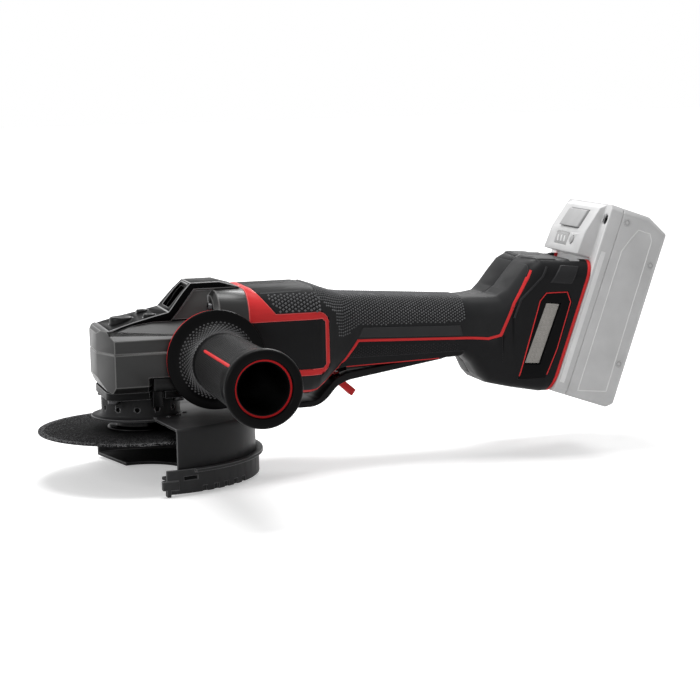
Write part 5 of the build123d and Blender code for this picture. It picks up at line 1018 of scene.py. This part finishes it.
# %% Gear housing, hood and cover
# The bevel strips of these copies take painted highlights.
refined("gear_housing", 0.45, 2, 25, jointed_housing(), edge=gear_painted_highlight)
# The hood's set-back field is partly painted light.
refined("gear_shroud", 0.45, 2, 25, framed_hood(), field=boss_paint_painted_light, edge=hood_painted_highlight)
refined("bearing_cover", 0.4, 2, 25, edge=guard_painted_highlight)
refined("guard_lever", 0.5, 2, 25)
refined("gear_head_screws", 0.3, 2, 40)
refined("shroud_screws", 0.3, 2, 40)
print("groove", 2 * JOINT_HALF, "mm high, fields of the hood", FIELD_DEPTH, "mm deep")

# %% [markdown]
# The lock button is a turned piece with a dished top, so its profile is swept round its axis. The
# spring under it has to give way when the button is pressed. A rigid copy would poke through the
# button. The spring's copy here is a rounded copy with a mesh of its own.

# %% Lock button and its spring
BUTTON_AT = (-10.2, 0, 0)
BUTTON_PROFILE = [
    (0, 78.6), (3.0, 78.75), (4.6, 79.2), (5.4, 79.4), (6.2, 79.2), (6.75, 78.6), (6.9, 77.8),
    (6.9, 74.3), (5.0, 74.3), (5.0, 77.5), (0, 77.5),
]
lock_button = lathe("lock_button_fine", BUTTON_PROFILE, BUTTON_AT, (0, 0, 1), black_steel, "spindle_lock", 64)
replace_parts(lock_button, "spindle_lock_button")
spring = refined("spindle_lock_spring", 0.05, 1, 60)
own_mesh(spring)

# %% [markdown]
# ## Guard and cover
# The guard is pressed steel, so its outer corner and the foot of its collar are well rounded. One
# bevel over the whole piece can't do both, so those two rings get a wide round first, and all other
# edges a fine one. Four low bumps near the collar are the stops that the pawl rides over.

# %% Guard
GUARD_TOP = 20.2
GUARD_RADIUS = 69.2
COLLAR_RADIUS = 23.8
STOP_RADIUS = 27.4
STOP_DEGREES = (-82, -63, -44, -25)
NEAR = 0.06


def on_top_ring(edge, radius):
    """Whether an edge lies on a circle of the guard's top face."""
    places = [corner.co / MM for corner in edge.verts]
    return all(abs(math.hypot(x, y) - radius) < NEAR and abs(z - GUARD_TOP) < NEAR for x, y, z in places)


guard_shape = joined("wheel_guard")
outer_count = cut_edges(guard_shape, lambda edge: on_top_ring(edge, GUARD_RADIUS), 3.0, 4)
foot_count = cut_edges(guard_shape, lambda edge: on_top_ring(edge, COLLAR_RADIUS), 1.6, 3)
# The bevel strips of the guard and the cover take a painted highlight.
refined("wheel_guard", 0.35, 2, 40, guard_shape, edge=guard_painted_highlight)
refined("guard_clip_cover", 0.35, 2, 30, edge=guard_painted_highlight)
stop_places = []
for degrees in STOP_DEGREES:
    out = Vector((math.cos(math.radians(degrees)), math.sin(math.radians(degrees)), 0))
    stop_places.append((out * STOP_RADIUS * MM + Vector((0, 0, GUARD_TOP * MM)), Vector((0, 0, 1)), out))
studs("guard_stops", stop_places, oblong(1.4, 0.9), oblong(1.1, 0.6), 0.6, guard_paint, "guard", 0.15)
print("guard edges rounded", outer_count, foot_count)

# %% [markdown]
# ## Side handle
# The rubber grip is a turned piece, so its profile is swept round the handle's axis with finer
# steps than the packed one. Rows of diamonds stand on its flare and a fine knurl covers the barrel.
# They are placed by the profile's own formula, with no need for rays.

# %% Handle grip
GRIP_PROFILE = [
    (16.05, 39.25), (29.2, 39.25), (29.7, 39.6), (29.8, 40.2), (29.8, 41.0), (29.5, 41.5),
    (28.8, 41.75), (25.6, 42.15), (24.0, 42.7), (22.4, 43.7), (21.1, 45.0), (20.2, 46.4),
    (19.5, 48.0), (19.0, 49.6), (18.6, 51.6), (18.3, 54.0), (18.2, 57.0), (18.3, 80.0),
    (18.6, 110.0), (19.0, 132.0), (19.3, 141.0), (20.0, 147.5), (20.9, 152.6), (21.7, 155.6),
    (22.0, 157.4), (21.9, 158.8), (21.5, 160.1), (20.8, 160.8), (20.0, 161.0), (17.6, 161.0),
    (16.6, 160.6), (16.1, 159.9),
]
FLANGE_POINTS = 5
FLARE_ROWS, FLARE_COUNT = 10, 56
FLARE_START, FLARE_PITCH, FLARE_GROWTH = 43.6, 1.15, 0.045
BARREL_ROWS, BARREL_COUNT = 46, 54
BARREL_START, BARREL_PITCH = 66.0, 1.55
# The grip's rubber is darkened as painted shade.
grip = lathe("handle_grip_fine", GRIP_PROFILE, HANDLE_AT, (0, -1, 0), handle_rubber, "tool", 120)
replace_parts(grip, "handle_grip")


def grip_radius(along):
    """The grip's radius and its slope at one way along it, past the flange."""
    outside = GRIP_PROFILE[FLANGE_POINTS:]
    for (ra, da), (rb, db) in zip(outside, outside[1:]):
        if da <= along <= db:
            return ra + (rb - ra) * (along - da) / (db - da), (ra - rb) / (db - da)
    raise ValueError(along)


def grip_place(along, angle):
    """A place on the grip's outside: the way along it in mm and the angle about it."""
    radius, slope = grip_radius(along)
    out = Vector((math.cos(angle), 0, math.sin(angle)))
    point = (Vector(HANDLE_AT) + out * radius + Vector((0, -along, 0))) * MM
    return point, (out + Vector((0, -slope, 0))).normalized(), Vector((0, -1, 0))


def grip_ring(along, count, row):
    """Places round the grip, with every other row turned by half a step."""
    return [grip_place(along, 2 * math.pi * (i + row % 2 / 2) / count) for i in range(count)]


flare_places = []
for row in range(FLARE_ROWS):
    along = FLARE_START + FLARE_PITCH * row + FLARE_GROWTH * row * row
    flare_places += grip_ring(along, FLARE_COUNT, row)
barrel_places = []
for row in range(BARREL_ROWS):
    barrel_places += grip_ring(BARREL_START + row * BARREL_PITCH, BARREL_COUNT, row)
# The diamonds carry a painted highlight and the barrel knurl painted light.
studs("handle_diamonds", flare_places, diamond(0.95), diamond(0.35), 0.5, diamond_rubber_painted_highlight, "tool")
studs("handle_knurl", barrel_places, diamond(0.85), diamond(0.25), 0.2, barrel_rubber_painted_light, "tool")
print("handle studs", len(flare_places) + len(barrel_places))

# %% [markdown]
# One red rib lies along the barrel of the grip. It is a moulded ridge with rounded ends: a small
# section is carried along the grip, and shrinks over the last two steps at each end.

# %% Red rib of the handle
RIB_ANGLE = math.radians(143.6)
RIB_START, RIB_END = 75.0, 148.0
RIB_STEPS = 40
RIB_RADIUS = 18.5
RIB_SECTION = [(-1.0, -0.15), (-0.75, 0.4), (0.0, 0.6), (0.75, 0.4), (1.0, -0.15)]
rib = bmesh.new()
rib_rows = []
for step in range(RIB_STEPS + 1):
    along = RIB_START + (RIB_END - RIB_START) * step / RIB_STEPS
    taper = min(1.0, math.sqrt(max(0.02, min(step, RIB_STEPS - step) / 2)))
    row = []
    for offset, lift in RIB_SECTION:
        point, normal, way = grip_place(along, RIB_ANGLE + offset * taper / RIB_RADIUS)
        row.append(rib.verts.new(point + normal * (lift * taper if lift > 0 else lift) * MM))
    rib_rows.append(row)
for near, far in zip(rib_rows, rib_rows[1:]):
    for v in range(len(RIB_SECTION) - 1):
        rib.faces.new((near[v], far[v], far[v + 1], near[v + 1])).smooth = True
show("handle_rib", rib, red_plastic, "tool")
print("rib", RIB_END - RIB_START, "mm long")

# %% [markdown]
# ## Paddle and levers
# The paddle is one bent moulding. Its packed bends are sharp, so the edges that run across it are
# rounded one by one, each by its own amount, before the fine bevel. The red lever under it has its
# free end drawn out to the length that shows below the paddle.

# %% Paddle and lock-off lever
PADDLE_BENDS = [
    (108.0, 18.4, 5.0), (114.5, 23.5, 2.6), (120.5, 30.4, 3.2), (127.2, 33.6, 3.2), (107.5, 22.4, 3.0),
    (119.0, 34.8, 3.0), (127.0, 38.4, 3.0),
]
BEND_REACH = 0.3
TIP_FROM = 128.0
TIP_MIDDLE = 29.0
TIP_UPPER = Vector((2.6, 0, -4.4))
TIP_LOWER = Vector((0.8, 0, -6.2))


def across_at(edge, x, z):
    """Whether an edge runs across the tool at one place of the side view."""
    first, second = (corner.co / MM for corner in edge.verts)
    way = second - first
    middle = (first + second) / 2
    runs_across = abs(way.y) > 0.9 * way.length
    return runs_across and abs(middle.x - x) < BEND_REACH and abs(middle.z - z) < BEND_REACH


paddle_shape = joined("paddle_switch")
bend_count = 0
for x, z, offset in PADDLE_BENDS:
    bend_count += cut_edges(paddle_shape, lambda edge: across_at(edge, x, z), offset, 4)
refined("paddle_switch", 0.6, 2, 25, paddle_shape)
lever_shape = joined("lock_off_lever")
for corner in lever_shape.verts:
    if corner.co.x > TIP_FROM * MM:
        corner.co += (TIP_UPPER if corner.co.z > TIP_MIDDLE * MM else TIP_LOWER) * MM
refined("lock_off_lever", 0.5, 2, 25, lever_shape)
print("bends of the paddle", bend_count)

# %% [markdown]
# ## Battery pack and wheel
# These are mouldings and turned pieces with plain faces, so rounded copies are enough. The pack's
# sides carry a bare field with a raised outline, small screws and a strip on the lid. The outline
# and the strip are painted near white: painted highlights. Its front has three lamp bars. All of
# them are laid on the packed faces with rays, and ride on the battery.

# %% Pack and wheel
refined("battery_case", 0.9, 3, 20)
refined("battery_lid", 0.7, 3, 20)
refined("battery_release_button", 0.8, 3, 25)
refined("charge_button", 0.4, 2, 25)
refined("charge_indicator", 0.3, 2, 25)
refined("cutting_disc", 0.25, 2, 30)
refined("inner_flange", 0.3, 2, 30)
refined("outer_flange_nut", 0.4, 2, 30)

# %% Details of the pack
PACK_TILT = math.radians(19.5)
PACK_SEAT = Vector((259.2, 0, 35.5))
PACK_UP = Vector((math.sin(PACK_TILT), 0, math.cos(PACK_TILT)))
PACK_OUT = Vector((math.cos(PACK_TILT), 0, -math.sin(PACK_TILT)))


def pack_view(points):
    """Places in mm from (way up the pack, depth behind the seat)."""
    return [PACK_SEAT + PACK_UP * up + PACK_OUT * depth for up, depth in points]


PACK_FIELD = pack_view(
    [(97.6, 22), (97.5, 30.2), (93.6, 32.8), (-5, 34.4), (-9.8, 15.7), (81.8, 15.3), (90.2, 18.5)]
)
LID_STRIP = pack_view([(-8, 2.2), (78, 2.2), (78, 5.2), (-8, 5.2)])
PACK_SCREWS = pack_view([(99.5, 13.0), (78.6, 37.0), (13.8, 37.0)])
SCREW_PROFILE = [
    (0, -0.1), (0.8, -0.1), (1.0, 0.2), (1.7, 0.2), (1.9, 0.05), (2.2, 0.3), (2.5, -0.1), (2.5, -0.3),
    (0, -0.3),
]
case_tree = tree_of("battery_case")
lid_tree = tree_of("battery_lid")
for hand, toward in TOWARD.items():
    # The outline and the strip are painted near white: painted highlights.
    line(f"pack_field_{hand}", case_tree, PACK_FIELD, toward, 0.8, 0.25, pale_bars_and_painted_highlight, "battery", True)
    plate(f"lid_strip_{hand}", lid_tree, LID_STRIP, toward, 0.3, pale_bars_and_painted_highlight, "battery", (12, 2), 0.02)
    for i, place in enumerate(PACK_SCREWS):
        at = cast(case_tree, place, toward) / MM
        out = -Vector(toward)
        lathe(f"pack_screw_{hand}_{i}", SCREW_PROFILE, at, out, pack_button_plastic, "battery", 24)
print("pack screws", 2 * len(PACK_SCREWS))

# %% Lamp bars of the pack
BAR_SPOTS = (10.2, 5.0, -0.2)
LAMP_X, LAMP_Z = 277, 113.7
LAMP_NORMAL = Vector((-0.94, 0, 0.33)).normalized()
BAR_WAY = Vector((0.33, 0.25, 0.94))
lamp_tree = tree_of("charge_indicator")
bar_places = []
for y in BAR_SPOTS:
    bar_places.append((cast(lamp_tree, (LAMP_X, y, LAMP_Z), (1, 0, 0)), LAMP_NORMAL, BAR_WAY))
studs("charge_bars", bar_places, oblong(2.3, 1.0), oblong(2.0, 0.7), 0.35, pale_bars_and_painted_highlight, "battery", 0.15)
print("lamp bars", len(bar_places))

# %% [markdown]
# ## Floor and light
# A pale floor that keeps the tool's shadow, a white surround, and three soft lamps: a large one
# above, one to the left of the camera and one behind that draws the upper edges. The surround
# lights the tool weakly. The white that the camera sees is only for rays that look at it.

# %% Floor
FLOOR_SPREAD = 8.0
FLOOR_GAP = 0.0002


def floor_finish():
    """A pale floor that glows for the rays that look at it, more so away from the tool."""
    made = Finish("floor", (0.86, 0.86, 0.86), 0.8, Emission_Strength=1.0)
    patches = made.noise(400.0)
    seen = made.background_rays()
    away = made.node("ShaderNodeVectorMath", {"operation": "LENGTH"}, {0: made.place()}, "Value")
    reach = {"Value": away, "From Min": 0.4, "From Max": 1.2, "To Min": 0.4, "To Max": 0.85}
    glow = made.node("ShaderNodeMapRange", sockets=reach)
    made.feed("Base Color", made.mix(patches, (0.85, 0.85, 0.85, 1.0), (0.87, 0.87, 0.87, 1.0)))
    made.feed("Emission Color", made.mix(seen * glow, (0.0, 0.0, 0.0, 1.0), (1.0, 1.0, 1.0, 1.0)))
    return made.material


floor_mesh = bpy.data.meshes.new("floor")
floor_height = cad_low.z - FLOOR_GAP
floor_corners = [(x, y, floor_height) for x, y in oblong(FLOOR_SPREAD, FLOOR_SPREAD)]
floor_mesh.from_pydata(floor_corners, [], [(0, 1, 2, 3)])
floor_mesh.materials.append(floor_finish())
floor = bpy.data.objects.new("floor", floor_mesh)
bpy.context.scene.collection.objects.link(floor)
floor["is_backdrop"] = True
print("floor at", round(floor_height / MM, 1), "mm")

# %% World and lamps
WHITE = (1, 1, 1, 1)
world = bpy.data.worlds.new("studio")
world.use_nodes = True
bpy.context.scene.world = world
studio = Tree(world.node_tree)
world.node_tree.nodes.clear()
weak = studio.node("ShaderNodeBackground", sockets={"Color": WHITE, "Strength": 0.35})
white = studio.node("ShaderNodeBackground", sockets={"Color": WHITE, "Strength": 1.0})
both = studio.node("ShaderNodeMixShader", sockets={0: studio.background_rays(), 1: weak, 2: white})
surface = world.node_tree.nodes.new("ShaderNodeOutputWorld")
studio.join(surface.inputs["Surface"], both)


def lamp(name, place, aim, watts, size):
    data = bpy.data.lights.new(name, "AREA")
    data.energy = watts
    data.shape = "RECTANGLE"
    data.size, data.size_y = size
    made = bpy.data.objects.new(name, data)
    made.location = place
    made.rotation_euler = (Vector(aim) - Vector(place)).to_track_quat("-Z", "Y").to_euler()
    bpy.context.scene.collection.objects.link(made)
    return made


lamp("lamp_above", (0.1, 0.15, 1.0), (0.12, 0.0, 0.05), 7.6, (0.6, 0.4))
lamp("lamp_left", (-1.0, -0.35, 0.55), (0.1, 0.0, 0.06), 4.4, (0.4, 0.4))
lamp("lamp_behind", (0.6, 0.9, 0.8), (0.1, 0.0, 0.06), 4.4, (0.5, 0.3))
print("lamps", len(bpy.data.lights))

# %% [markdown] ## Size The size is measured again.

# %% Size
low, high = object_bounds()
